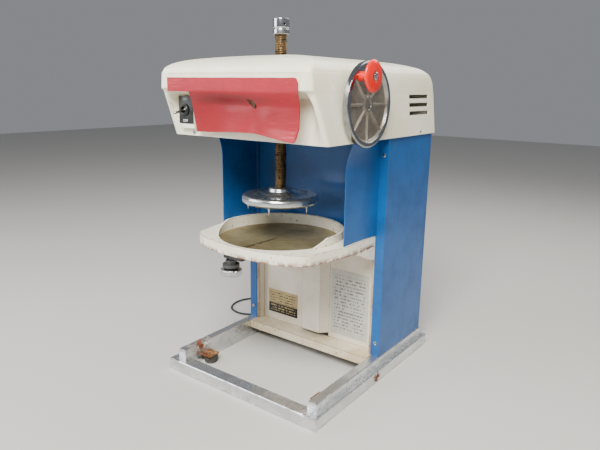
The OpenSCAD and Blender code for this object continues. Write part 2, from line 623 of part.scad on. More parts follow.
// V-belt: the loop round both pulleys, cut from two arcs and their common tangents.
function tangent_turn(r1, r2, dist) = acos((r1 - r2) / dist);
module belt_loop(r1, r2, dist) {
    t = tangent_turn(r1, r2, dist);
    circle(r = r1, $fn = 96);
    translate([0, dist]) circle(r = r2, $fn = 96);
    polygon([[r1 * sin(t), r1 * cos(t)], [r2 * sin(t), dist + r2 * cos(t)],
        [-r2 * sin(t), dist + r2 * cos(t)], [-r1 * sin(t), r1 * cos(t)]]);
}
module drive_belt() at_counter() color("black") translate([0, 0, pulley_z + 7.2])
    linear_extrude(height = pulley_t - 14.4) difference() {
    belt_loop(big_pulley_d / 2, small_pulley_d / 2, motor_y - counter_y);
    belt_loop(big_pulley_d / 2 - groove_d + belt_gap, small_pulley_d / 2 - groove_d + belt_gap,
        motor_y - counter_y);
}
module run_capacitor() place() color("silver") {
    translate([105, cabinet_back - 50, 300]) cylinder(r = 22, h = 90);
    translate([80, cabinet_back - 24, 330]) cube([50, 24 - sheet_t, 24]);
}

// ---- hood ----
hood_half = [[484, hood_w / 2], [560, hood_w / 2 - 6], [590, hood_w / 2 - 8], [603, hood_w / 2 - 11],
    [612, hood_w / 2 - 18], [618, hood_w / 2 - 32], [622, hood_w / 2 - 54], [626, hood_w / 2 - 92],
    [629, hood_w / 2 - 138], [630, hood_w / 2 - 165]];
hood_front = [[484, 31], [563, -1], [570, brow_y], [596, brow_y], [605, -2], [612, 10], [618, 28],
    [622, 48], [626, 78], [629, 108], [630, 122]];
hood_back = [[484, 439], [560, 434], [590, 427], [600, 417], [609, 398], [615, 368], [620, 326],
    [624, 276], [628, 207], [630, 146]];
recess_y = [[484, 31], [556, 31], [561, 18], [566, 0], [568, brow_y]];
hood_corner = 8;
hood_rows = [484, 504, 530, 556, 563, 570, 596, 605, 612, 618, 622, 626, 629];
function smooth(t) = let (u = min(1, max(0, t))) u * u * (3 - 2 * u);
function recess_depth(x, z) = let (
    deep = z > 568 ? 0 : max(0, lookup(z, recess_y) - lookup(z, hood_front)),
    edge = min(hood_w / 2 - 6, 158 + (566 - z) * 0.4),
    cove = 8 + max(0, 560 - z) * 0.33)
    deep * (1 - smooth((abs(x) - edge + cove) / cove));
front_steps = [-1, -0.94, -0.88, -0.8, -0.4, 0, 0.4, 0.8, 0.88, 0.94, 1];
function hood_plan(z, inset) = let (
    w = lookup(z, hood_half) - inset,
    f = lookup(z, hood_front) + inset,
    b = lookup(z, hood_back) - inset,
    c = min(hood_corner, w * 0.4, (b - f) * 0.4))
    concat(
        [for (s = front_steps) [s * (w - c), f + recess_depth(s * (w - c), z)]],
        [for (a = [-45, 0]) [w - c + c * cos(a), f + c + c * sin(a)]],
        [for (a = [0, 45]) [w - c + c * cos(a), b - c + c * sin(a)]],
        [for (s = [1, 0, -1]) [s * (w - c), b]],
        [for (a = [135, 180]) [-w + c + c * cos(a), b - c + c * sin(a)]],
        [for (a = [180, 225]) [-w + c + c * cos(a), f + c + c * sin(a)]]);
// A closed shell: rings of equal length stacked to an apex, outside and inside, joined along the lower edge.
module shell(outside, inside, out_z, in_z, tip) {
    n = len(outside[0]);
    m = len(outside);
    q = len(inside);
    tip_out = (m + q) * n;
    polyhedron(points = concat(
        [for (k = [0:m - 1], p = outside[k]) [p[0], p[1], out_z[k]]],
        [for (k = [0:q - 1], p = inside[k]) [p[0], p[1], in_z[k]]],
        [[tip[0], tip[1], tip[2]], [tip[0], tip[1], tip[2] - hood_t]]),
        faces = [for (i = [0:n - 1]) let (j = (i + 1) % n, top = (m - 1) * n, low = m * n,
            roof = (m + q - 1) * n) each concat(
            [for (k = [0:m - 2]) each [[k * n + i, k * n + n + i, k * n + n + j],
                [k * n + i, k * n + n + j, k * n + j]]],
            [for (k = [0:q - 2]) each [[low + k * n + i, low + k * n + n + j, low + k * n + n + i],
                [low + k * n + i, low + k * n + j, low + k * n + n + j]]],
            [[top + j, top + i, tip_out], [roof + i, roof + j, tip_out + 1], [i, j, low + j],
                [i, low + j, low + i]])],
        convexity = 8);
}
hood_hole_r = collar_d / 2 + 2.5;
module hood() place() color("ivory") difference() {
    shell([for (z = hood_rows) hood_plan(z, 0)],
        [for (k = [0:len(hood_rows) - 2]) hood_plan(hood_rows[k], hood_t)],
        [for (z = hood_rows) z + hood_shift],
        [for (k = [0:len(hood_rows) - 2]) hood_rows[k] + hood_shift - hood_t * k / (len(hood_rows) - 2)],
        [0, spindle_y, hood_z + 146]);
    translate([0, spindle_y, hood_z + 116]) cylinder(r = hood_hole_r, h = 50);
    translate([140, spindle_y, wheel_z]) along_x(wheel_shaft_r + 3, 60);
    for (i = [0:2]) translate([150, 315, hood_z + 39.5 + i * louvre_step]) cube([40, louvre_w, louvre_h]);
}

// Red vinyl: a strip on the brow, then a sheet that hangs and curls below it.
vinyl_x0 = -148;
vinyl_x1 = 146;
brow_low = 564;
strip_h = 24;
function vinyl_drop(x, t) = let (curl = 1 - smooth((x + 60) / 190), lift = smooth(t * 3.2),
    side = smooth((x + 99) / 90), inward = side * lift + (1 - side) * t)
    brow_y + 1 + curl * 20 * inward + 3 * lift
        - (4 + vinyl_flare) * smooth((x - 60) / 80) * smooth((t - 0.75) * 4);
vinyl_rows = 14;
vinyl_cols = 12;
function vinyl_point(i, j, out) = let (
    t = i / vinyl_rows,
    left = -93 - 6 * t,
    x = left + (vinyl_x1 - left) * j / vinyl_cols,
    low = 495 + 8 * pow(max(0, 40 - x) / 140, 2) - 8 * smooth((x - 20) / 110))
    [x, vinyl_drop(x, t) - out, hood_shift + brow_low - (brow_low - low) * t];
module vinyl_sheet() place() color("crimson") {
    difference() {
        translate([vinyl_x0, strip_y, brow_low + hood_shift]) cube([vinyl_x1 - vinyl_x0, vinyl_t, strip_h]);
        translate([vinyl_x1 - 6, strip_y - over, brow_low + strip_h - 6 + hood_shift]) difference() {
            cube([7, 4, 7]);
            rotate([-90, 0, 0]) cylinder(r = 6, h = 9, center = true);
        }
    }
    sheet([for (i = [0:vinyl_rows], j = [0:vinyl_cols]) vinyl_point(i, j, 0)],
        [for (i = [0:vinyl_rows], j = [0:vinyl_cols]) vinyl_point(i, j, vinyl_t)], vinyl_rows, vinyl_cols);
}
module at_switch() place() translate([switch_x, switch_y, switch_z]) rotate([90, 0, 0]) children();
module switch_bracket() at_switch() color("ivory") difference() {
    translate([-12, -33, -9.6]) cube([33.5, 57.5, 9.6]);
    translate([0, 0, -12]) cylinder(r = 6.5, h = 20);
}
module switch_plate() at_switch() color("black") difference() {
    translate([-17, -25, 0]) cube([38, 50, 1.2]);
    translate([0, 0, -over]) cylinder(r = 6.5, h = 4);
}
module switch_boss() at_switch() color("black") difference() {
    union() {
        translate([0, 0, -9]) cylinder(r = 6.4, h = 12);
        translate([0, 0, 1.2]) cylinder(r = 11, h = 2.8);
        translate([0, 0, 4]) cylinder(r1 = 9, r2 = 6, h = 3);
    }
    translate([0, 0, 2]) sphere(r = 4.4);
    translate([0, 0, 2]) cylinder(r1 = 3.4, r2 = 5.6, h = 6);
}
switch_throw = 12;
lever_len = 24;
lever_tip_r = 2.6;
module switch_lever() at_switch() color("silver") translate([0, 0, 2]) rotate([switch_throw, 0, 0]) {
    sphere(r = 4.1);
    cylinder(r1 = 1.8, r2 = lever_tip_r, h = lever_len);
    translate([0, 0, lever_len]) sphere(r = lever_tip_r);
}
module screw_head(r) { cylinder(r = r, h = 2.4); }
module cover_screws() place() color("silver") {
    mirrored() for (z = [deck_z + 28, cover_top - 33]) translate([cabinet_w / 2 - 9, cabinet_y, z])
        rotate([90, 0, 0]) screw_head(4);
    mirrored() for (z = [deck_z + 38, deck_z + 218, cover_top - 45])
        translate([cabinet_w / 2 - 9, cabinet_back, z]) rotate([-90, 0, 0]) screw_head(4);
}

// ---- mains cord: visible loop at the left, the rest coiled behind ----
cord_d = 5;
cord_r = cord_d / 2;
coil_mid = 56;
coil_c = [-20, 500];
coil_band = 12;
cord_exit = [gland_x, cabinet_back + 30, gland_z];
cord_route = [
    cord_exit, [-120, 470, 68], [-121, 480, 56], [-124, 484, 38], [-132, 482, 18], [-146, 476, 6],
        [-164, 468, 2.6],
    [-184, 458, 2.6], [-200, 440, 2.6], [-206, 414, 2.6], [-208, 386, 2.6], [-212, 358, 2.6],
        [-222, 332, 2.6], [-236, 316, 2.6],
    [-252, 306, 2.6], [-270, 302, 2.6], [-290, 305, 2.6], [-308, 315, 2.6], [-320, 332, 2.6],
        [-326, 354, 2.6], [-324, 376, 2.6],
    [-314, 396, 2.6], [-298, 418, 2.6], [-278, 442, 2.6], [-254, 468, 2.6], [-226, 492, 2.6],
        [-196, 512, 2.6], [-162, 525, 2.6],
    [-124, 531, 2.6], [-84, 532, 2.6], [-50, 531, 2.6], [-20, 531, 2.6]];
function unit(v) = v / norm(v);
function flat_side(v) = let (h = norm([v[0], v[1]])) h < 0.001 ? [1, 0, 0] : [v[1] / h, -v[0] / h, 0];
// Catmull-Rom curve through the route's points.
function spline(a, b, c, d, t) = 0.5 * (2 * b + (c - a) * t + (2 * a - 5 * b + 4 * c - d)
    * t * t + (3 * b - a - 3 * c + d) * t * t * t);
function smooth_route(p, steps) = let (n = len(p)) concat([for (i = [0:n - 2], s = [0:steps - 1])
    spline(p[max(0, i - 1)], p[i], p[i + 1], p[min(n - 1, i + 2)], s / steps)], [p[n - 1]]);
module swept(path, r, sides) {
    n = len(path);
    dirs = [for (i = [0:n - 1]) unit(path[min(n - 1, i + 1)] - path[max(0, i - 1)])];
    rings = [for (i = [0:n - 1]) let (s = flat_side(dirs[i]), u = cross(s, dirs[i]))
        for (k = [0:sides - 1]) let (a = 360 * (k + 0.5) / sides) path[i] + r * (cos(a) * s + sin(a) * u)];
    polyhedron(points = rings, faces = concat([[for (k = [sides - 1:-1:0]) k]],
        [[for (k = [0:sides - 1]) (n - 1) * sides + k]],
        [for (i = [0:n - 2], k = [0:sides - 1]) let (j = (k + 1) % sides, a = i * sides + k,
            b = i * sides + j)
            each [[a, b, b + sides], [a, b + sides, a + sides]]]), convexity = 10);
}
module cord_tube() place() color("darkslategray") swept(smooth_route(cord_route, 2), cord_r, 8);
module cord_coil() place() color("darkslategray") translate([coil_c[0], coil_c[1], 0]) rotate_extrude()
    translate([coil_mid / 2 - coil_band / 2, 0.1]) square([coil_band, 3 * cord_d - 1]);
module cord_gland() place() color("black") translate([gland_x, cabinet_back, gland_z]) rotate([-90, 0, 0]) {
    translate([0, 0, -6]) cylinder(r = gland_r, h = 6);
    cylinder(r = gland_r + 3, h = 3);
    translate([0, 0, 3]) cylinder(r1 = 6.5, r2 = 3.6, h = 27);
}
plug_x = coil_c[0] - coil_mid / 2 - 8;
plug_y = coil_c[1] - coil_mid / 2 - 3;
plug_len = 34;
plug_w = 26;
plug_h = 14;
pin_len = 17;
module cord_plug() place() color("black") translate([plug_x, plug_y, 0]) {
    translate([-plug_len, -plug_w / 2, 0]) cube([plug_len, plug_w, plug_h]);
    for (y = [-6.35, 6.35]) translate([-plug_len - pin_len, y - 3.15, plug_h / 2 - 0.75])
        cube([pin_len, 6.3, 1.5]);
    translate([0, 0, plug_h / 2]) rotate([0, 90, 0]) cylinder(r = cord_r, h = coil_c[0] - plug_x);
}

base_ring();
left_rail();
right_rail();
cross_rail();
rubber_feet();
foot_brackets();
left_post();
right_post();
left_cover();
right_cover();
back_cover();
lower_front_panel();
nameplate();
instruction_label();
chamber_back_panel();
left_guard();
right_guard();
table();
blade_plate();
blade();
blade_seat();
blade_knob();
knob_locknut();
knob_stud();
head_plate();
head_bridge();
bridge_pillars();
spindle_bush();
drive_gear();
screw_shaft();
stop_collar();
clamp_disc();
ice_spikes();
feed_nut();
handwheel_shaft();
bevel_pinion();
handwheel_bearing();
handwheel();
wheel_grip();
grip_bolt();
countershaft();
counter_pinion();
big_pulley();
motor_body();
motor_shaft();
motor_pulley();
drive_belt();
run_capacitor();
hood();
vinyl_sheet();
switch_bracket();
switch_plate();
switch_boss();
switch_lever();
cover_screws();
cord_gland();
cord_tube();
cord_coil();
cord_plug();
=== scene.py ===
import math

import bpy
from mathutils import Matrix, Vector, noise


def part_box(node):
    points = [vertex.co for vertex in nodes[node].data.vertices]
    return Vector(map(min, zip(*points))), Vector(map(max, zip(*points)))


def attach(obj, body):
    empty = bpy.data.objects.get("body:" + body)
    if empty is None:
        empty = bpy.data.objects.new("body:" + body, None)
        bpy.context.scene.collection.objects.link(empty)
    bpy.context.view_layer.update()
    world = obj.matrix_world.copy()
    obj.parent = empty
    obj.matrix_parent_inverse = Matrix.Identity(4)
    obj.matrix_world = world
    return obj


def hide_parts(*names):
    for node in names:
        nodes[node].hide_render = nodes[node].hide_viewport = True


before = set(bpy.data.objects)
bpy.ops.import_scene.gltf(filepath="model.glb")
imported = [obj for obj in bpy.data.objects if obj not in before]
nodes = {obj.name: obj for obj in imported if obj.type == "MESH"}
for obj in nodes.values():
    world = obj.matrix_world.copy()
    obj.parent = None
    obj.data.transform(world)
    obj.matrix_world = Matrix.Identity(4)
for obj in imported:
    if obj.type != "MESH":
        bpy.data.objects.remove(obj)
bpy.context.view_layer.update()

# Distances below are millimetres: x from the spindle, y from the floor frame's front, z from the floor.
discLow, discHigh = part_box("clamp_disc")
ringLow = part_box("base_ring")[0]
spindleX = (discLow.x + discHigh.x) / 2
spindleY = ((discLow.y + discHigh.y) / 2 - ringLow.y) * 1000


def at(x, y, z):
    return Vector((spindleX + x / 1000, ringLow.y + y / 1000, z / 1000))


def nodeBox(name):
    low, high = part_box(name)
    shift = at(0, 0, 0)
    return (low - shift) * 1000, (high - shift) * 1000


def smooth(t):
    t = min(1, max(0, t))
    return t * t * (3 - 2 * t)


def lookUp(pairs, key):
    # straight line between the pairs on each side of key
    if key <= pairs[0][0]:
        return pairs[0][1]
    for (k0, v0), (k1, v1) in zip(pairs, pairs[1:]):
        if key <= k1:
            return v0 + (v1 - v0) * (key - k0) / (k1 - k0)
    return pairs[-1][1]


def flow(points, steps):
    # Catmull-Rom curve through the points
    out = []
    for i in range(len(points) - 1):
        a = points[max(0, i - 1)]
        b = points[i]
        c = points[i + 1]
        d = points[min(len(points) - 1, i + 2)]
        for s in range(steps):
            t = s / steps
            out.append(0.5 * (2 * b + (c - a) * t + (2 * a - 5 * b + 4 * c - d) * t * t
                              + (3 * b - a - 3 * c + d) * t ** 3))
    return out + [points[-1]]


def placed(name, data):
    thing = bpy.data.objects.new(name, data)
    bpy.context.scene.collection.objects.link(thing)
    return thing


# ---- camera ----
cameraSettings = {"place": (666.9, -700, 575.5), "turn": 36.58, "tilt": 13.85, "roll": 0.77, "lens": 33.75}


def makeCamera():
    turn = math.radians(cameraSettings["turn"])
    tilt = math.radians(cameraSettings["tilt"])
    roll = math.radians(cameraSettings["roll"])
    ahead = Vector((-math.sin(turn) * math.cos(tilt), math.cos(turn) * math.cos(tilt), -math.sin(tilt)))
    right = Vector((math.cos(turn), math.sin(turn), 0))
    up = right.cross(ahead)
    across = right * math.cos(roll) + up * math.sin(roll)
    upward = up * math.cos(roll) - right * math.sin(roll)
    camera = placed("camera", bpy.data.cameras.new("camera"))
    camera.data.lens = cameraSettings["lens"]
    camera.data.sensor_width = 36
    camera.data.clip_start = 0.01
    facing = Matrix((across, upward, -ahead)).transposed().to_4x4()
    camera.matrix_world = Matrix.Translation(at(*cameraSettings["place"])) @ facing
    bpy.context.scene.camera = camera


makeCamera()
print("camera set")


# ---- material tools ----
def colour(hexText):
    # sRGB hex to linear
    out = []
    for i in (1, 3, 5):
        v = int(hexText[i:i + 2], 16) / 255
        v = v / 12.92 if v <= 0.04045 else ((v + 0.055) / 1.055) ** 2.4
        out.append(v)
    return (*out, 1)


def add(tree, kind, inputs, **options):
    node = tree.nodes.new("ShaderNode" + kind)
    for name, value in options.items():
        setattr(node, name, value)
    for name, value in inputs.items():
        if isinstance(value, bpy.types.NodeSocket):
            tree.links.new(value, node.inputs[name])
        else:
            node.inputs[name].default_value = value
    return node


def newMaterial(name):
    material = bpy.data.materials.new(name)
    material.use_nodes = True
    tree = material.node_tree
    tree.nodes.clear()
    shader = add(tree, "BsdfPrincipled", {})
    add(tree, "OutputMaterial", {"Surface": shader.outputs[0]})
    where = add(tree, "TexCoord", {}).outputs["Object"]
    return material, tree, shader, where


def finish(tree, shader, **sockets):
    # sockets are written with _ for spaces
    for name, value in sockets.items():
        socket = shader.inputs[name.replace("_", " ")]
        if isinstance(value, bpy.types.NodeSocket):
            tree.links.new(value, socket)
        else:
            socket.default_value = value


def patches(tree, where, sizeMm, low, high, detail=4.0, squash=(1, 1, 1), shift=0.0):
    # 0 to 1 mask of cloudy patches about sizeMm across
    moved = add(tree, "Mapping", {"Vector": where, "Scale": squash, "Location": (shift, shift, shift)})
    cloud = add(tree, "TexNoise", {"Vector": moved.outputs[0], "Scale": 1000 / sizeMm, "Detail": detail,
                                   "Roughness": 0.6})
    return add(tree, "MapRange", {"Value": cloud.outputs["Fac"], "From Min": low, "From Max": high},
               interpolation_type="SMOOTHSTEP").outputs[0]


def mixed(tree, mask, under, over):
    # one colour over another through a mask; the sockets are numbered because their names repeat
    return add(tree, "Mix", {0: mask, 6: under, 7: over}, data_type="RGBA").outputs[2]


def both(tree, a, b, operation="MULTIPLY"):
    return add(tree, "Math", {0: a, 1: b}, operation=operation, use_clamp=True).outputs[0]


def reckon(tree, operation, *values):
    # like both, but the result may leave the range from 0 to 1
    return add(tree, "Math", dict(enumerate(values)), operation=operation).outputs[0]


def spread(tree, value, low, high, outLow, outHigh):
    return add(tree, "MapRange", {"Value": value, "From Min": low, "From Max": high, "To Min": outLow,
                                  "To Max": outHigh}).outputs[0]


def edgeMask(tree, radiusMm, low=0.02, high=0.16):
    # 1 along corners, from how far a rounded normal turns away from the flat one
    rounded = add(tree, "Bevel", {"Radius": radiusMm / 1000}, samples=4)
    flat = add(tree, "NewGeometry", {})
    likeness = add(tree, "VectorMath", {0: rounded.outputs[0], 1: flat.outputs["Normal"]},
                   operation="DOT_PRODUCT")
    turnAway = reckon(tree, "SUBTRACT", 1.0, likeness.outputs["Value"])
    return add(tree, "MapRange", {"Value": turnAway, "From Min": low, "From Max": high},
               interpolation_type="SMOOTHSTEP").outputs[0]


def softCorners(tree, radiusMm):
    return add(tree, "Bevel", {"Radius": radiusMm / 1000}, samples=4).outputs[0]


def relief(tree, height, distanceMm, strength=1.0, under=None):
    inputs = {"Height": height, "Distance": distanceMm / 1000, "Strength": strength}
    if under is not None:
        inputs["Normal"] = under
    return add(tree, "Bump", inputs).outputs[0]


def axisPart(tree, where, axis):
    return add(tree, "SeparateXYZ", {"Vector": where}).outputs["XYZ".index(axis)]


def rustyPaint(name, paint, tint, rust, chipLow, chipHigh, edge=1.6, wear=0.5, gloss=0.38, low=None,
               upper=None):
    # brushed-on or stoved paint on steel: soft gloss, and brown rust where it has chipped at the edges
    material, tree, shader, where = newMaterial(name)
    tone = patches(tree, where, 60, 0.35, 0.7)
    body = mixed(tree, tone, colour(paint), colour(tint))
    if upper is not None:
        # a second coat above the given height
        above = axisPart(tree, where, "Z")
        body = mixed(tree, spread(tree, above, upper[0] / 1000 - 0.0005, upper[0] / 1000, 0, 1), body,
                     colour(upper[1]))
    chips = patches(tree, where, 7, chipLow, chipHigh, 8)
    worn = both(tree, edgeMask(tree, edge),
                patches(tree, where, 9, 0.62 - wear * 0.4, 0.7 - wear * 0.3, 6, shift=3))
    mask = both(tree, chips, worn, "MAXIMUM")
    if low is not None:
        # runs of rust above the lower edge, which lies at this height
        height = axisPart(tree, where, "Z")
        near = both(tree, spread(tree, height, low / 1000, low / 1000 + 0.009, 1, 0),
                    spread(tree, height, low / 1000 - 0.004, low / 1000 - 0.001, 0, 1))
        mask = both(tree, mask, both(tree, near, patches(tree, where, 12, 0.38, 0.55, 6, shift=8)), "MAXIMUM")
    rusty = mixed(tree, patches(tree, where, 3, 0.35, 0.65, 8), colour(rust), colour("#3E2416"))
    halo = both(tree, patches(tree, where, 7, chipLow - 0.06, chipHigh, 8), 0.35)
    stained = mixed(tree, halo, body, colour("#B98A55"))
    surface = relief(tree, reckon(tree, "MULTIPLY", mask, -1.0), 0.25, 0.6,
                     relief(tree, patches(tree, where, 2.2, 0.2, 0.8, 3), 0.05, 0.35, softCorners(tree, 0.8)))
    finish(tree, shader, Base_Color=mixed(tree, mask, stained, rusty), IOR=1.5,
           Roughness=both(tree, spread(tree, tone, 0, 1, gloss - 0.05, gloss + 0.07),
                          both(tree, mask, 0.5), "ADD"), Normal=surface)
    return material


def bareMetal(name, light, dark, rough=0.3, metallic=1.0, grainMm=0.8, rust=None, spotSize=6, spotLow=0.66,
              corner=0.5, cast=0.0):
    # ground, turned or cast metal: tone and gloss change together, with optional spots of rust, which on the
    # wheel's rim are a painted red reflection
    material, tree, shader, where = newMaterial(name)
    grain = patches(tree, where, grainMm, 0.25, 0.75, 3)
    grime = patches(tree, where, 22, 0.35, 0.75, 5, shift=2)
    face = mixed(tree, both(tree, grime, spread(tree, grain, 0, 1, 0.4, 1.0)), colour(light), colour(dark))
    gloss = spread(tree, grime, 0, 1, rough - 0.06, rough + 0.14)
    shine = metallic
    # spots of rust; on the wheel's rim the same spots are painted red reflection
    if rust is not None:
        spotsOfRustAndReflection = patches(tree, where, spotSize, spotLow, spotLow + 0.07, 7, shift=5)
        face = mixed(tree, spotsOfRustAndReflection, face, colour(rust))
        gloss = both(tree, gloss, both(tree, spotsOfRustAndReflection, 0.45), "ADD")
        shine = spread(tree, spotsOfRustAndReflection, 0, 1, metallic, 0.1)
    surface = relief(tree, grain, 0.03 + cast, 0.4, softCorners(tree, corner))
    finish(tree, shader, Base_Color=face, Metallic=shine, Roughness=gloss, Normal=surface)
    return material


def aluminiumTape():
    # rolled aluminium foil tape pressed over steel by hand: sharp creases and bright flat facets
    material, tree, shader, where = newMaterial("aluminium foil tape")
    crease = add(tree, "TexVoronoi", {"Vector": where, "Scale": 1000 / 24}, feature="DISTANCE_TO_EDGE")
    broad = patches(tree, where, 40, 0.3, 0.7, 3, (1, 0.4, 1.4))
    fine = patches(tree, where, 6, 0.3, 0.7, 6, (1, 0.5, 1.4))
    dirt = both(tree, patches(tree, where, 26, 0.56, 0.74, 5, shift=4), patches(tree, where, 5, 0.3, 0.6, 6))
    face = mixed(tree, both(tree, dirt, 0.6), mixed(tree, broad, colour("#E4E5E6"), colour("#C8CACC")),
                 colour("#8C867E"))
    # the tear in the tape on the handwheel side, with the rusted rail under it
    away = add(tree, "VectorMath", {0: where, 1: at(*foil["tear"])}, operation="DISTANCE").outputs["Value"]
    raggedness = spread(tree, patches(tree, where, 8, 0.2, 0.8, 5), 0, 1, -0.008, 0.008)
    reach = reckon(tree, "ADD", away, raggedness)
    torn = spread(tree, reach, 0.008, 0.011, 1, 0)
    # rust that has come through on top of the left rail's front end
    farRail = add(tree, "VectorMath", {0: where, 1: at(*foil["rust"])}, operation="DISTANCE").outputs["Value"]
    through = both(tree, spread(tree, farRail, 0.014, 0.034, 1, 0),
                   patches(tree, where, 9, 0.46, 0.52, 6, shift=7))
    torn = both(tree, torn, through, "MAXIMUM")
    rusty = mixed(tree, patches(tree, where, 3, 0.3, 0.7, 7), colour("#8A4A20"), colour("#4A2814"))
    face = mixed(tree, torn, face, rusty)
    ridge = spread(tree, crease.outputs["Distance"], 0, 0.03, 1, 0)
    bumps = relief(tree, ridge, 0.35, 0.5, relief(tree, fine, 0.12, 0.5))
    finish(tree, shader, Base_Color=face, Metallic=spread(tree, torn, 0, 1, 0.95, 0.0),
           Roughness=both(tree, spread(tree, broad, 0, 1, 0.22, 0.34),
                          both(tree, both(tree, dirt, 0.15), both(tree, torn, 0.5), "ADD"), "ADD"),
           Normal=bumps)
    return material


def stainedPlate():
    # turned stainless plate, stained brown by water: fine circles round the spindle
    material, tree, shader, where = newMaterial("stained turned stainless steel")
    centred = add(tree, "Mapping", {"Vector": where, "Location": -at(0, spindleY, 0)})
    flatPlace = add(tree, "VectorMath", {0: centred.outputs[0], 1: (1, 1, 0)}, operation="MULTIPLY")
    radius = add(tree, "VectorMath", {0: flatPlace.outputs[0]}, operation="LENGTH").outputs["Value"]
    # tool marks every 1.5 mm, coarser than the real ones so that they show
    marks = reckon(tree, "SINE", reckon(tree, "MULTIPLY", both(tree, radius, 1.0), 2 * math.pi / 0.0015))
    blotch = patches(tree, where, 70, 0.3, 0.7, 7)
    specks = patches(tree, where, 2.5, 0.6, 0.7, 4, shift=1)
    face = mixed(tree, blotch, colour("#968B68"), colour("#756A4A"))
    rim = spread(tree, radius, 0.103, 0.119, 0, 1)
    face = mixed(tree, both(tree, rim, 0.6), face, colour("#9A8450"))
    face = mixed(tree, both(tree, specks, 0.5), face, colour("#443A2A"))
    finish(tree, shader, Base_Color=face, Metallic=0.55, Roughness=spread(tree, blotch, 0, 1, 0.36, 0.5),
           Normal=relief(tree, marks, 0.02, 0.35))
    return material


def scuffedVinyl():
    # calendered PVC sheet: fine leather grain, a top strip painted lighter as light on the brow face and a
    # sheet painted darker as shade under the brow, whitish scuffs at the free corners with painted highlight
    # streaks among them
    material, tree, shader, where = newMaterial("red PVC sheet")
    height = axisPart(tree, where, "Z")
    # painted light: the strip on the brow face is coloured lighter, and the sheet hanging under the brow
    # darker as painted shade
    litStripMask = spread(tree, height, 0.558, 0.572, 0, 1)
    tone = mixed(tree, patches(tree, where, 45, 0.3, 0.75), colour("#84000F"), colour("#8E061A"))
    litStripRed = mixed(tree, patches(tree, where, 30, 0.3, 0.7, shift=6), colour("#980A20"), colour("#A01228"))
    # painted light: the sheet turns lighter red towards its lower edge, away from the brow's painted shade
    lowerSheetLit = spread(tree, height, 0.530, 0.500, 0, 1)
    body = mixed(tree, litStripMask, mixed(tree, both(tree, lowerSheetLit, 0.6), tone, colour("#A00E1E")), litStripRed)
    # whitish streaks run across at the free lower edge and beside the switch: partly scuffs, partly painted
    # highlight, the ones at the lower right being painted highlight
    across = axisPart(tree, where, "X")
    beside = spread(tree, across, at(-60, 0, 0).x, at(-100, 0, 0).x, 0, 1)
    outer = both(tree, spread(tree, across, at(40, 0, 0).x, at(120, 0, 0).x, 0, 1), lowerSheetLit)
    streaks = patches(tree, where, 5, 0.58, 0.68, 6, (0.1, 1, 2.2))
    lines = both(tree, patches(tree, where, 3.5, 0.66, 0.72, 5, (0.12, 1, 2.4), 9), 0.35)
    scuffsAndHighlightStreaks = both(tree, both(tree, streaks, both(tree, beside, outer, "MAXIMUM")), 0.6)
    # the pale colour is scuffing and painted highlight together
    face = mixed(tree, both(tree, scuffsAndHighlightStreaks, lines, "MAXIMUM"), body, colour("#C86068"))
    grain = add(tree, "TexVoronoi", {"Vector": where, "Scale": 1000 / 1.6}, feature="DISTANCE_TO_EDGE")
    waves = patches(tree, where, 28, 0.2, 0.8, 3, (0.5, 1, 1.6))
    surface = relief(tree, grain.outputs["Distance"], 0.08, 0.3, relief(tree, waves, 1.5, 0.25))
    finish(tree, shader, Base_Color=face, Roughness=spread(tree, litStripMask, 0, 1, 0.44, 0.55), IOR=1.53,
           Normal=surface)
    return material


def moulded(name, light, dark, rough, grainMm=1.2, ior=1.5, depth=0.03, dust=None):
    # moulded plastic or rubber with a fine skin texture and handling marks
    material, tree, shader, where = newMaterial(name)
    wear = patches(tree, where, 18, 0.35, 0.7, 5)
    face = mixed(tree, wear, colour(light), colour(dark))
    if dust is not None:
        face = mixed(tree, both(tree, patches(tree, where, 4, 0.55, 0.75, 7, shift=2), 0.5), face,
                     colour(dust))
    skin = patches(tree, where, grainMm, 0.2, 0.8, 3)
    finish(tree, shader, Base_Color=face, Roughness=spread(tree, wear, 0, 1, rough, rough + 0.12), IOR=ior,
           Normal=relief(tree, skin, depth, 0.35, softCorners(tree, 0.5)))
    return material


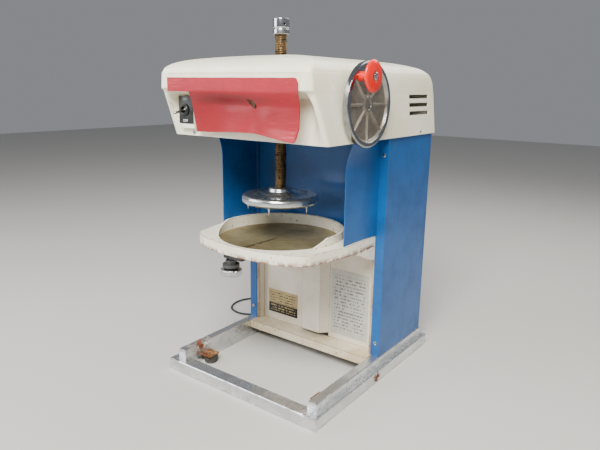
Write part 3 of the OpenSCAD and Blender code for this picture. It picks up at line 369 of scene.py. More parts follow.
def printedLabel(name, box, paper, ink, lineMm, darkPart=None, size=(0.1, 0.9), sharp=0.46):
    # lines of meaningless dashes in columns, the way small print looks from a distance
    material, tree, shader, where = newMaterial(name)
    low, high = box
    x = axisPart(tree, where, "X")
    z = axisPart(tree, where, "Z")
    across = add(tree, "MapRange",
                 {"Value": x, "From Min": at(low.x, 0, 0).x, "From Max": at(high.x, 0, 0).x}).outputs[0]
    tall = add(tree, "MapRange", {"Value": z, "From Min": low.z / 1000, "From Max": high.z / 1000}).outputs[0]
    rows = reckon(tree, "MULTIPLY", z, 1000 / lineMm)
    row = reckon(tree, "FRACT", rows)
    rowNumber = reckon(tree, "FLOOR", rows)
    inRow = both(tree, spread(tree, row, 0.25, 0.32, 0, 1), spread(tree, row, 0.78, 0.7, 0, 1))
    marks = add(tree, "CombineXYZ", {"X": reckon(tree, "MULTIPLY", x, 1000 / lineMm * 1.3),
                                     "Y": reckon(tree, "MULTIPLY", rowNumber, 7.3)})
    dashes = add(tree, "TexNoise", {"Vector": marks.outputs[0], "Scale": 1.6, "Detail": 1.0})
    inDash = spread(tree, dashes.outputs["Fac"], sharp, sharp + 0.05, 0, 1)
    inside = both(tree, both(tree, spread(tree, across, size[0], size[0] + 0.02, 0, 1),
                             spread(tree, across, size[1], size[1] - 0.02, 0, 1)),
                  both(tree, spread(tree, tall, 0.08, 0.1, 0, 1), spread(tree, tall, 0.93, 0.91, 0, 1)))
    printed = both(tree, both(tree, inRow, inDash), inside)
    ground = mixed(tree, patches(tree, where, 12, 0.3, 0.7, 6), colour(paper[0]), colour(paper[1]))
    inkColour = colour(ink)
    if darkPart is not None:
        # the lower part is printed black with pale marks
        split = spread(tree, tall, darkPart, darkPart - 0.01, 0, 1)
        ground = mixed(tree, split, ground, colour("#1C1A17"))
        inkColour = mixed(tree, split, colour(ink), colour(paper[0]))
    face = mixed(tree, both(tree, printed, 0.85), ground, inkColour)
    finish(tree, shader, Base_Color=face, Roughness=0.4, Metallic=0.35 if darkPart else 0.0,
           Normal=softCorners(tree, 0.3))
    return material


foil = {"tear": (185, 214, 12), "rust": (-166, 62, 42), "crumple": 0.75, "stepMm": 4.0, "bar": 28}
materials = {}


# ---- mesh tools ----
def newPiece(name, points, faces, material, body, slotName, replaced=(), sharp=35, flat=False):
    # points are in millimetres from the spindle, the frame's front and the floor
    mesh = bpy.data.meshes.new(name)
    mesh.from_pydata([at(*p) for p in points], [], faces)
    mesh.validate()
    piece = placed(name, mesh)
    mesh.materials.append(material)
    if not flat:
        mesh.polygons.foreach_set("use_smooth", [True] * len(mesh.polygons))
        mesh.set_sharp_from_angle(angle=math.radians(sharp))
    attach(piece, body)
    if replaced:
        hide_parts(*replaced)
    return piece


def settle(piece, sharp=35):
    # makes the modifiers' result the piece's own mesh
    graph = bpy.context.evaluated_depsgraph_get()
    mesh = bpy.data.meshes.new_from_object(piece.evaluated_get(graph))
    piece.modifiers.clear()
    piece.data = mesh
    mesh.polygons.foreach_set("use_smooth", [True] * len(mesh.polygons))
    mesh.set_sharp_from_angle(angle=math.radians(sharp))


def cutWith(piece, points, faces):
    # takes a closed shape away from the piece
    mesh = bpy.data.meshes.new("cutter")
    mesh.from_pydata([at(*p) for p in points], [], faces)
    cutter = placed("cutter", mesh)
    modifier = piece.modifiers.new("cut", "BOOLEAN")
    modifier.object = cutter
    modifier.operation = "DIFFERENCE"
    modifier.solver = "EXACT"
    settle(piece)
    bpy.data.objects.remove(cutter)


def block(low, high):
    points = [(x, y, z) for x in (low[0], high[0]) for y in (low[1], high[1]) for z in (low[2], high[2])]
    faces = [(0, 1, 3, 2), (4, 6, 7, 5), (0, 4, 5, 1), (2, 3, 7, 6), (0, 2, 6, 4), (1, 5, 7, 3)]
    return points, faces


def turned(profile, centre, axis, around=64, shape=None, hollow=False):
    # a lathe form: profile is (radius, distance along the axis); shape changes the radius by angle and
    # distance; a hollow one closes back on its first point, the others get flat ends
    points = []
    for radius, along in profile:
        for k in range(around):
            angle = 2 * math.pi * k / around
            r = shape(radius, angle, along) if shape else radius
            a, b = r * math.cos(angle), r * math.sin(angle)
            x, y, z = centre
            points.append({"X": (x + along, y + a, z + b), "Y": (x + b, y + along, z + a),
                           "Z": (x + a, y + b, z + along)}[axis])
    rows = len(profile)
    if not hollow:
        return points, tubeFaces(rows, around)
    last = (rows - 1) * around
    closing = [(last + k, last + (k + 1) % around, (k + 1) % around, k) for k in range(around)]
    return points, gridFaces(rows, around, True) + closing


def joined(*shapes):
    points, faces = [], []
    for somePoints, someFaces in shapes:
        start = len(points)
        points += somePoints
        faces += [tuple(i + start for i in face) for face in someFaces]
    return points, faces


def rounded(profile, radius, steps=4):
    # rounds the inner corners of an open profile
    out = [profile[0]]
    for a, b, c in zip(profile, profile[1:], profile[2:]):
        before, here, after = Vector(a), Vector(b), Vector(c)
        r = min(radius, (here - before).length * 0.45, (after - here).length * 0.45)
        start = here + (before - here).normalized() * r
        end = here + (after - here).normalized() * r
        for s in range(steps + 1):
            t = s / steps
            out.append(tuple((1 - t) ** 2 * start + 2 * t * (1 - t) * here + t * t * end))
    return out + [profile[-1]]


def gridFaces(rows, cols, closed=False):
    faces = []
    for i in range(rows - 1):
        for j in range(cols if closed else cols - 1):
            k = (j + 1) % cols
            faces.append((i * cols + j, i * cols + k, (i + 1) * cols + k, (i + 1) * cols + j))
    return faces


def tubeFaces(rows, width):
    # rings of points joined into a tube, with a flat cap at each end
    return gridFaces(rows, width, True) + [tuple(range(width - 1, -1, -1)),
                                           tuple(range((rows - 1) * width, rows * width))]


def thicken(piece, wallMm, offset, sharp=35):
    modifier = piece.modifiers.new("wall", "SOLIDIFY")
    modifier.thickness = wallMm / 1000
    modifier.offset = offset
    settle(piece, sharp)


# ---- materials ----
baseHigh = nodeBox("base_ring")[1]
tableSlab = nodeBox("blade_plate")[1].z - 12
materials["tape"] = aluminiumTape()
materials["creamFrame"] = rustyPaint("brushed cream paint on steel", "#DDD2BA", "#CBBA98", "#8A4F22", 0.62,
                                     0.68, 2.6, 1.05)
materials["post"] = rustyPaint("brushed cream and blue paint on steel", "#CDBFA2", "#A88B62", "#8A4F22",
                               0.6, 0.68, 2.0, 0.7, upper=(tableSlab + 20, "#0E5294"))
materials["creamPanel"] = rustyPaint("stoved cream enamel on sheet steel", "#E3DBCB", "#D6CBB6", "#8A5A2E",
                                     0.7, 0.76, 2.0, 0.85)
materials["rust"] = rustyPaint("rusted steel strip", "#9C7A55", "#7A5230", "#6B3A1B", 0.42, 0.6, 1.5, 1.0,
                               0.7)
materials["blue"] = rustyPaint("blue stove enamel on sheet steel", "#10589C", "#0E4C88", "#4A3A30", 0.75,
                               0.8, 0.9, 0.12, 0.34)
materials["table"] = rustyPaint("chipped cream vitreous enamel on cast iron", "#F3EEDC", "#E8E1CB", "#8C4E22",
                                0.645, 0.68, 2.6, 0.66, 0.28, low=tableSlab)
materials["hood"] = rustyPaint("warm white stove enamel", "#F6F2DF", "#F0EACF", "#9A7B52", 0.77, 0.82, 1.0,
                               0.06, 0.3)
materials["plate"] = stainedPlate()
materials["steel"] = bareMetal("turned steel", "#B4B4B2", "#8B8880", 0.28)
materials["castIron"] = bareMetal("sand-cast iron", "#5E5F60", "#45403A", 0.5, 0.8, 1.6, cast=0.12)
materials["bronze"] = bareMetal("machined bronze", "#A27A42", "#6E5430", 0.34)
materials["screw"] = bareMetal("greasy bronze screw thread", "#7A6240", "#2C2117", 0.36, 0.8, 1.2,
                               rust="#14100C", spotSize=6, spotLow=0.52)
materials["chrome"] = bareMetal("worn chrome plate", "#C9CCCF", "#8E9092", 0.12, 1.0, 0.9, rust="#8A5A30",
                                spotSize=9, spotLow=0.7, corner=0.8)
materials["disc"] = bareMetal("satin stainless disc", "#D6DADC", "#B9BCBC", 0.2, 0.95, 0.5, rust="#8A5A30",
                              spotSize=9, spotLow=0.74, corner=1.2)
materials["collar"] = bareMetal("polished steel collar", "#C4C8CC", "#9A9CA0", 0.2, 1.0, 0.8)
# the rim's red spots, passed as rust, are a painted red reflection in the polished metal
materials["wheelRim"] = bareMetal("polished aluminium rim", "#A9ACB0", "#75787C", 0.2, 1.0, 0.7,
                                  rust="#B03A34", spotSize=14, spotLow=0.74)
materials["wheelWeb"] = bareMetal("die-cast aluminium web", "#A49C90", "#6F675C", 0.34, 0.8, 1.3, cast=0.1)
materials["orange"] = moulded("orange phenolic, moulded and polished", "#F01800", "#DE1400", 0.14, 2.0, 1.6)
materials["motor"] = moulded("dark grey machine paint", "#2A2E30", "#202325", 0.4)
materials["rubber"] = moulded("aged grey rubber", "#4A4640", "#302E2B", 0.7, 1.6, 1.52, 0.1, "#8A8070")
materials["belt"] = moulded("moulded belt rubber", "#161616", "#1E1D1C", 0.6)
materials["vinyl"] = scuffedVinyl()
materials["blackPlastic"] = moulded("moulded black phenolic", "#141414", "#1C1B1A", 0.32)
materials["blackPlate"] = moulded("black painted switch plate", "#191919", "#222120", 0.36, dust="#4A4844")
materials["whitePrint"] = moulded("white printed ink", "#E6E4DE", "#D2CFC6", 0.5)
materials["cord"] = moulded("dark green rubber cord sheath", "#26352D", "#1B2620", 0.5, 1.4, 1.52)
materials["pins"] = bareMetal("nickel-plated brass pins", "#C9C2AE", "#A89F88", 0.22)
print("materials made:", len(materials))


# ---- mains cord: a loop at the left, the rest coiled behind, and its plug ----
cord = {
    "diameter": 5,
    "plugMiddle": 7,
    "exit": (-120, 456.8, 70),
    "floorZ": 2.7,
    "drop": [(-120, 470, 68), (-121, 480, 56), (-124, 484, 38), (-132, 482, 18), (-146, 476, 6)],
    "floor": [(-164, 468), (-184, 458), (-200, 440), (-206, 414), (-208, 386), (-212, 358), (-222, 332),
              (-236, 316), (-252, 306), (-270, 302), (-290, 305), (-308, 315), (-320, 332), (-326, 354),
              (-324, 376), (-314, 396), (-298, 418), (-278, 442), (-254, 468), (-226, 492), (-196, 512),
              (-162, 525), (-124, 531), (-84, 532), (-50, 531)],
    "coilCentre": (-20, 500),
    "outerTurn": 31,
    "innerTurn": 25.5,
    "turns": 3.5,
}


def coilPoint(turn):
    # degrees wound clockwise from the back: in, up, out and up again, so that no turn cuts another
    inward = smooth((turn - 240) / 90) - smooth((turn - 780) / 90)
    layer = smooth((turn - 510) / 90) + smooth((turn - 1050) / 90)
    radius = cord["outerTurn"] + (cord["innerTurn"] - cord["outerTurn"]) * inward
    x, y = cord["coilCentre"]
    angle = math.radians(90 - turn)
    return Vector((x + radius * math.cos(angle), y + radius * math.sin(angle),
                   cord["floorZ"] + (cord["diameter"] + 0.1) * layer))


def cordPath():
    route = [Vector(cord["exit"])] + [Vector(p) for p in cord["drop"]]
    route += [Vector((x, y, cord["floorZ"])) for x, y in cord["floor"]]
    last = int(cord["turns"] * 360)
    coil = [coilPoint(turn) for turn in range(0, last + 1, 10)]
    path = flow(route + [coil[0]], 6)[:-1] + coil
    plugLow, plugHigh = nodeBox("cord_plug")
    end = Vector((plugFace, (plugLow.y + plugHigh.y) / 2, cord["plugMiddle"]))
    start = path[-1]
    for s in range(1, 9):
        t = s / 8
        path.append(start + (end - start) * t + Vector((0, 0, (start.z - end.z) * (t - smooth(t)))))
    return path


plugFace = nodeBox("cord_coil")[0].x - 2


def makeCord():
    path = cordPath()
    curve = bpy.data.curves.new("mainsCord", "CURVE")
    curve.dimensions = "3D"
    curve.bevel_depth = cord["diameter"] / 2000
    curve.bevel_resolution = 4
    curve.use_fill_caps = True
    line = curve.splines.new("POLY")
    line.points.add(len(path) - 1)
    for point, place in zip(line.points, path):
        point.co = (*at(*place), 1)
    piece = placed("mainsCord", curve)
    curve.materials.append(materials["cord"])
    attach(piece, "machine")
    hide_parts("cord_tube", "cord_coil")
    length = sum((b - a).length for a, b in zip(path, path[1:])) / 1000
    print("cord length", round(length, 3))
    return piece, length


plug = {"bladeLength": 17, "bladeHalf": 3.1, "bladeGap": 6.35, "bladeLow": 6.3, "bladeHigh": 7.8}


def makePlug():
    # two-pin plug: a waisted moulded body with grip ribs, and two flat blades
    low, high = nodeBox("cord_plug")
    middle = (low.y + high.y) / 2
    bodyEnd = low.x + plug["bladeLength"]
    rows = []
    sides = 40
    count = 30
    for i in range(count + 1):
        t = i / count
        x = bodyEnd + (plugFace - bodyEnd) * t
        halfWidth = 12.8 - 7.5 * smooth((t - 0.25) / 0.75) - (0.5 if 0.3 < t < 0.85 and i % 2 else 0)
        halfHeight = 6.8 - 2.6 * smooth((t - 0.45) / 0.55) - (0.3 if 0.3 < t < 0.85 and i % 2 else 0)
        shrink = 0.9 if i in (0, count) else 1
        for k in range(sides):
            a = 2 * math.pi * k / sides
            c, s = math.cos(a), math.sin(a)
            rows.append((x, middle + halfWidth * shrink * math.copysign(abs(c) ** 0.55, c),
                         cord["plugMiddle"] + halfHeight * shrink * math.copysign(abs(s) ** 0.55, s)))
    body = newPiece("plugBody", rows, tubeFaces(count + 1, sides), materials["blackPlastic"], "machine",
                    "black_plastic", ("cord_plug",), 50)
    blades = joined(*[block((low.x, middle + y - plug["bladeHalf"], plug["bladeLow"]),
                            (bodyEnd + 1, middle + y + plug["bladeHalf"], plug["bladeHigh"]))
                      for y in (-plug["bladeGap"], plug["bladeGap"])])
    pins = newPiece("plugBlades", *blades, materials["pins"], "machine", "steel", flat=True)
    bevel = pins.modifiers.new("edge", "BEVEL")
    bevel.width = 0.0005
    bevel.segments = 2
    settle(pins)
    return body, pins


def makeGland():
    # tapered strain relief with rings, on a flanged foot
    low, high = nodeBox("cord_gland")
    foot = nodeBox("back_cover")[1].y
    profile = [(8, -5), (8, 0), (10.8, 0.1), (10.8, 2.2), (9.8, 3), (6.8, 3.2)]
    for i in range(9):
        along = 4 + i * 2.7
        r = 6.4 - 2.6 * i / 9
        profile += [(r, along), (r, along + 1.5), (r - 0.9, along + 1.7), (r - 0.9, along + 2.5)]
    profile += [(3.6, high.y - foot)]
    centre = ((low.x + high.x) / 2, foot, (low.z + high.z) / 2)
    return newPiece("cordGland", *turned(profile, centre, "Y", 40), materials["blackPlastic"], "machine",
                    "black_plastic", ("cord_gland",))


cordPiece, cordLength = makeCord()
plugPieces = makePlug()
makeGland()
print("cord laid")


# ---- hood ----
hood = {
    "half": [(484, 177), (560, 171), (590, 169), (603, 166), (612, 159), (618, 145), (622, 123), (626, 85),
             (629, 39), (630, 12)],
    "front": [(484, 31), (563, -1), (570, -7), (596, -7), (605, -2), (612, 10), (618, 28), (622, 48),
              (626, 78), (629, 108), (630, 122)],
    "back": [(484, 439), (560, 434), (590, 427), (600, 417), (609, 398), (615, 368), (620, 326), (624, 276),
             (628, 207), (630, 146)],
    "recess": [(484, 31), (556, 31), (561, 18), (566, 0), (568, -7)],
    "rows": [484, 494, 504, 517, 530, 543, 556, 563, 568, 570, 583, 594, 596, 598, 601, 605, 612, 618, 622,
             626, 629],
    "corner": 8,
    "recessTop": 568,
    "recessHalf": 158,
    "recessWidest": 171,
    "recessSlant": 0.4,
    "cove": 8,
    "coveGrowth": 0.33,
    "coveStart": 560,
    "bandTop": 597,
    "bandHalf": 153,
    "bandDepth": 0.9,
    "wall": 2,
    "apex": 630,
    "spindleHole": 17.75,
    "axleHole": 11,
    "axleHeight": 547,
    "louvreStart": (315, 523.5),
    "louvreLength": 86,
    "louvreHeight": 7.4,
    "louvreStep": 15.8,
}


def recessDepth(x, z):
    deep = 0 if z > hood["recessTop"] else max(0, lookUp(hood["recess"], z) - lookUp(hood["front"], z))
    edge = min(hood["recessWidest"], hood["recessHalf"] + (hood["recessTop"] - 2 - z) * hood["recessSlant"])
    cove = hood["cove"] + max(0, hood["coveStart"] - z) * hood["coveGrowth"]
    # the red strip lies in a very shallow band pressed into the brow
    band = hood["bandDepth"] * smooth((hood["bandTop"] - z) / 2.5) * smooth((hood["bandHalf"] - abs(x)) / 4)
    return max(deep * (1 - smooth((abs(x) - edge + cove) / cove)), band if z > hood["recessTop"] - 2 else 0)


def hoodSections(inset):
    # outline sizes at each height, eased between the measured rows
    keys = [Vector((z, lookUp(hood["half"], z), lookUp(hood["front"], z), lookUp(hood["back"], z)))
            for z in hood["rows"]]
    out = []
    for z, half, front, back in flow(keys, 3):
        half, front, back = half - inset, front + inset, back - inset
        corner = min(hood["corner"], half * 0.4, (back - front) * 0.4)
        out.append((z, half, front, back, corner))
    return out


def hoodRing(z, half, front, back, corner):
    ring = []
    flatHalf = half - corner
    steps = 72
    for i in range(steps + 1):
        s = -1 + 2 * i / steps
        # closer together towards the two coves
        s = math.copysign(1 - (1 - abs(s)) ** 1.35, s)
        ring.append((s * flatHalf, front + recessDepth(s * flatHalf, z)))
    for centreX, centreY, start in ((flatHalf, front + corner, -90), (flatHalf, back - corner, 0)):
        for i in range(1 if start == -90 else 0, 9):
            a = math.radians(start + 90 * i / 8)
            ring.append((centreX + corner * math.cos(a), centreY + corner * math.sin(a)))
    for i in range(1, 20):
        ring.append((flatHalf * (1 - 2 * i / 20), back))
    for centreX, centreY, start in ((-flatHalf, back - corner, 90), (-flatHalf, front + corner, 180)):
        for i in range(0, 9 if start == 90 else 8):
            a = math.radians(start + 90 * i / 8)
            ring.append((centreX + corner * math.cos(a), centreY + corner * math.sin(a)))
    return [(x, y, z) for x, y in ring]


def makeHood():
    outer = [hoodRing(*section) for section in hoodSections(0)]
    inner = [hoodRing(z - (hood["wall"] if z > 600 else 0), *rest) for z, *rest in hoodSections(hood["wall"])]
    width = len(outer[0])
    points = [p for ring in outer for p in ring] + [(0, spindleY, hood["apex"])]
    tip = len(points) - 1
    faces = gridFaces(len(outer), width, True)
    faces += [(tip - width + k, tip - width + (k + 1) % width, tip) for k in range(width)]
    start = len(points)
    points += [p for ring in inner for p in ring] + [(0, spindleY, hood["apex"] - hood["wall"])]
    under = gridFaces(len(inner), width, True)
    under += [(tip - width + k, tip - width + (k + 1) % width, tip) for k in range(width)]
    faces += [tuple(start + i for i in reversed(face)) for face in under]
    # the lower edge joins the two shells
    faces += [((k + 1) % width, k, start + k, start + (k + 1) % width) for k in range(width)]
    piece = newPiece("hoodShell", points, faces, materials["hood"], "machine", "hood_enamel", ("hood",), 50)
    spindleHole = turned([(hood["spindleHole"], 600), (hood["spindleHole"], 650)], (0, spindleY, 0), "Z", 64)
    axleHole = turned([(hood["axleHole"], 140), (hood["axleHole"], 200)], (0, spindleY, hood["axleHeight"]),
                      "X", 48)
    y, z = hood["louvreStart"]
    slots = [block((150, y, z + i * hood["louvreStep"]),
                   (190, y + hood["louvreLength"], z + i * hood["louvreStep"] + hood["louvreHeight"]))
             for i in range(3)]
    cutWith(piece, *joined(spindleHole, axleHole, *slots))
    return piece


hoodPiece = makeHood()
print("hood shaped:", len(hoodPiece.data.polygons), "faces")


# ---- red vinyl sheet over the brow ----
vinyl = {"left": -148, "right": 146, "top": 588, "brow": 564, "front": -7, "thick": 1.4, "sheetLeft": -93,
         "hole": (45, 547), "holeSize": (11, 5.5), "holeTilt": -38, "cornerRadius": 8, "ripple": 0.7,
         "low": 494, "rise": 5, "fall": 9, "curl": 20, "standOut": 6}


def vinylLow(x):
    # height of the sheet's lower edge: up towards the middle, then down to the right end
    return vinyl["low"] + vinyl["rise"] * smooth((x + 99) / 140) - vinyl["fall"] * smooth((x - 40) / 105)


def vinylPlace(x, t):
    # t runs from the brow to the lower edge; the left part curls in, the right corner stands out
    curl = 1 - smooth((x + 60) / 190)
    lift = smooth(t * 3.2)
    side = smooth((x + 99) / 90)
    y = vinyl["front"] + 1 + curl * vinyl["curl"] * (side * lift + (1 - side) * t) + 3 * lift
    y = y - vinyl["standOut"] * smooth((x - 60) / 80) * smooth((t - 0.75) * 4)
    wave = vinyl["ripple"] * noise.noise(Vector((x / 34, t * 1.7, 1.5))) * 2.4 * smooth(t * 2)
    fold = 1.1 * math.exp(-((x - 30 - 55 * (1 - t)) / 14) ** 2) * smooth(t * 2.5)
    return y + wave + fold


def makeVinyl():
    columns = [vinyl["left"] + (vinyl["sheetLeft"] - vinyl["left"]) * j / 12 for j in range(12)]
    sheetCount = 64
    columns += [vinyl["sheetLeft"] + (vinyl["right"] - vinyl["sheetLeft"]) * j / sheetCount
                for j in range(sheetCount + 1)]
    stripRows, sheetRows = 8, 30
    points = []
    for i in range(stripRows + 1):
        z = vinyl["top"] + (vinyl["brow"] - vinyl["top"]) * i / stripRows
        for x in columns:
            # rounded upper right corner, and a slightly wavy hand-cut upper edge
            top = vinyl["top"] + 0.5 * noise.noise(Vector((x / 25, 0, 3)))
            overCorner = x - (vinyl["right"] - vinyl["cornerRadius"])
            if overCorner > 0:
                top -= vinyl["cornerRadius"] - math.sqrt(max(0, vinyl["cornerRadius"] ** 2 - overCorner ** 2))
            share = (z - vinyl["brow"]) / (vinyl["top"] - vinyl["brow"])
            points.append((x, vinyl["front"], vinyl["brow"] + (top - vinyl["brow"]) * share))
    faces = gridFaces(stripRows + 1, len(columns))
    upper = stripRows * len(columns) + 12
    start = len(points)
    for i in range(1, sheetRows + 1):
        t = i / sheetRows
        left = vinyl["sheetLeft"] - 6 * t
        for j in range(sheetCount + 1):
            x = left + (vinyl["right"] - left) * j / sheetCount
            low = vinylLow(x) + 0.5 * noise.noise(Vector((x / 18, 4, 0)))
            overCorner = x - (vinyl["right"] - vinyl["cornerRadius"])
            if overCorner > 0:
                low += vinyl["cornerRadius"] - math.sqrt(max(0, vinyl["cornerRadius"] ** 2 - overCorner ** 2))
            points.append((x, vinylPlace(x, t), vinyl["brow"] - (vinyl["brow"] - low) * t))
    wide = sheetCount + 1
    faces += [(upper + j, upper + j + 1, start + j + 1, start + j) for j in range(sheetCount)]
    faces += [tuple(start + i for i in face) for face in gridFaces(sheetRows, wide)]
    piece = newPiece("vinylSheet", points, [tuple(reversed(f)) for f in faces], materials["vinyl"], "machine",
                     "red_vinyl", ("vinyl_sheet",), 60)
    area = sum(p.area for p in piece.data.polygons)
    thicken(piece, vinyl["thick"], 1, 60)
    x, z = vinyl["hole"]
    longHalf, shortHalf = vinyl["holeSize"]
    tilt = Matrix.Rotation(math.radians(vinyl["holeTilt"]), 2)
    ring = []
    for k in range(32):
        a = 2 * math.pi * k / 32
        spot = tilt @ Vector((longHalf * math.cos(a), shortHalf * math.sin(a)))
        ring.append((x + spot.x, z + spot.y))
    tube = [(px, y, pz) for y in (30, -30) for px, pz in ring]
    cutWith(piece, tube, tubeFaces(2, len(ring)))
    return piece, area


def makeEyelet():
    # brass plug seen through the hole in the sheet
    x, z = vinyl["hole"]
    t = (vinyl["brow"] - z) / (vinyl["brow"] - vinylLow(x))
    y = vinylPlace(x, t) + 6.5
    profile = rounded([(0.1, 0), (5.5, 0), (6.5, 1.2), (6.5, 9)], 0.8)
    return newPiece("eyelet", *turned(profile, (x + 4, y, z - 4), "Y", 32),
                    materials["screw"], "machine", "bronze")


vinylPiece, vinylArea = makeVinyl()
makeEyelet()
print("vinyl hung, flat area", round(vinylArea, 4))


# ---- guards and chamber ----
guard = {"half": 147, "front": 130, "thick": 1.6, "flare": 20, "flareStart": 0.7, "backLean": 5, "rows": 40,
         "cols": 18}


def makeGuard(side):
    low, high = nodeBox("right_guard")
    back = nodeBox("right_cover")[0].y - 0.5
    points = []
    for i in range(guard["rows"] + 1):
        v = i / guard["rows"]
        for j in range(guard["cols"] + 1):
            u = j / guard["cols"]
            flare = guard["flare"] * max(0, (v - guard["flareStart"]) / 0.3) ** 2 * (1 - u)
            x = guard["half"] + flare + guard["backLean"] * u ** 3 + guard["thick"]
            y = guard["front"] + (back - guard["front"]) * u
            z = low.z + (high.z - low.z) * v
            points.append((side * x, y, z))
    faces = gridFaces(guard["rows"] + 1, guard["cols"] + 1)
    if side < 0:
        faces = [tuple(reversed(f)) for f in faces]
    name = "guardRight" if side > 0 else "guardLeft"
    node = "right_guard" if side > 0 else "left_guard"
    piece = newPiece(name, points, [tuple(reversed(f)) for f in faces], materials["blue"], "machine",
                     "blue_steel", (node,), 40)
    thicken(piece, guard["thick"], -1, 40)
    return piece


makeGuard(1)
makeGuard(-1)
print("guards bent")


# ---- handwheel and grip ----
wheel = {"radius": 70.9, "hub": 14, "ribs": 8}


def makeHandwheel():
    low, high = nodeBox("handwheel")
    centre = (high.x, spindleY, (low.z + high.z) / 2)
    thick = high.x - low.x
    r = wheel["radius"]
    # outer face first: hub, dished web, flat polished rim, then round the back
    outside = [(7.5, -4.5), (8.5, -3.2), (wheel["hub"] - 2, -3), (wheel["hub"], -4),
               (wheel["hub"] + 4, -6.6), (30, -7.4), (46, -7.2), (r - 12, -6.2), (r - 9.2, -1.2),
               (r - 8.2, -0.2), (r - 2, 0), (r, -1.6)]
    rim = rounded(outside, 1.4, 3)
    webEnd = next(i for i, p in enumerate(rim) if p[0] > r - 9.6)
    web = rim[:webEnd + 1] + [(r - 9.4, -9), (wheel["hub"] + 6, -9.6), (wheel["hub"], -thick), (7.5, -thick)]
    band = rim[webEnd:] + rounded([(r, -2), (r, -thick + 2), (r - 2, -thick), (r - 8, -thick),
                                   (r - 9.5, -9)], 1, 3)
    ribs = []
    for k in range(wheel["ribs"]):
        a = 2 * math.pi * k / wheel["ribs"]
        along = Vector((0, math.cos(a), math.sin(a)))
        side = Vector((0, -math.sin(a), math.cos(a)))
        spot = Vector(centre)
        corners = []
        for distance, half, height in ((wheel["hub"] - 1, 2.2, -3.6), (r - 10, 1.5, -3.2)):
            for sign in (-1, 1):
                for widen, depth in ((1.5, -8), (0.55, height)):
                    corners.append(tuple(spot + along * distance + side * sign * half * widen
                                         + Vector((depth, 0, 0))))
        ribs.append((corners,
                     [(0, 2, 3, 1), (4, 5, 7, 6), (0, 1, 5, 4), (2, 6, 7, 3), (1, 3, 7, 5), (0, 4, 6, 2)]))
    gripLow, gripHigh = nodeBox("grip_bolt")
    boss = (centre[0], (gripLow.y + gripHigh.y) / 2, (gripLow.z + gripHigh.z) / 2)
    pad = turned([(10, -8), (9, -5), (8, -4.2), (3, -4)], boss, "X", 32)
    cast = newPiece("handwheelWeb", *joined(turned(web, centre, "X", 96, hollow=True), pad, *ribs),
                    materials["wheelWeb"], "handwheel_set", "wheel_cast", ("handwheel",), 40)
    ring = newPiece("handwheelRim", *turned(band, centre, "X", 128, hollow=True), materials["wheelRim"],
                    "handwheel_set", "wheel_cast", (), 40)
    return cast, ring


def makeHub():
    # black washer over the shaft's end, sunk in the hub's bore: painted shade standing in for the dark, deep
    # bore
    low, high = nodeBox("handwheel")
    centre = (high.x, spindleY, (low.z + high.z) / 2)
    boreShadeWasher = turned(rounded([(0.1, -8.5), (6.5, -8.5), (7.4, -9.2), (7.4, -10.5)], 0.4), centre, "X", 32)
    return newPiece("hubBoreShade", *boreShadeWasher, materials["blackPlate"], "handwheel_set", "grey_cast")


def makeGrip():
    low, high = nodeBox("wheel_grip")
    centre = (low.x, (low.y + high.y) / 2, (low.z + high.z) / 2)
    length = high.x - low.x
    head = (high.y - low.y) / 2
    profile = [(3.06, 0), (8.2, 0), (7.6, 1.5), (7.5, length - 14), (9, length - 10.6),
               (head - 5, length - 9.2), (head - 1, length - 7), (head, length - 4.5),
               (head - 1.6, length - 2.4), (head - 6, length - 0.9), (12, length), (8.4, length),
               (7.8, length - 1.6), (3.06, length - 1.8)]
    smoothProfile = [profile[0]] + rounded(profile, 2.2, 4)[1:-1] + [profile[-1]]
    grip = newPiece("gripHandle", *turned(smoothProfile, centre, "X", 96), materials["orange"], "grip",
                    "orange_plastic", ("wheel_grip",), 50)
    return grip


def makeGripScrew():
    low, high = nodeBox("grip_bolt")
    middle = (0, (low.y + high.y) / 2, (low.z + high.z) / 2)
    profile = [(3, low.x), (3, high.x - 3), (6.4, high.x - 3), (6.4, high.x - 1.2), (5, high.x - 0.2),
               (0.1, high.x)]
    screw = newPiece("gripScrew", *turned(profile, middle, "X", 40), materials["collar"], "handwheel_set",
                     "chrome", ("grip_bolt",))
    cutWith(screw, *block((high.x - 1.3, middle[1] - 8, middle[2] - 0.7),
                          (high.x + 2, middle[1] + 8, middle[2] + 0.7)))
    return screw


makeHandwheel()
makeHub()
makeGrip()
makeGripScrew()
print("handwheel made")


# ---- press: threaded screw, collar and clamp disc ----
screw = {"depth": 1.3, "pitch": 4, "keyTurn": 240, "keyWide": 5, "keyDeep": 3, "around": 56, "perPitch": 10}


def threadRadius(turn, z, radius):
    phase = (z / screw["pitch"] - turn / (2 * math.pi)) % 1
    if phase < 0.3:
        share = smooth(phase / 0.3)
    elif phase < 0.6:
        share = 1
    else:
        share = 1 - smooth((phase - 0.6) / 0.3)
    return radius - screw["depth"] * (1 - share)


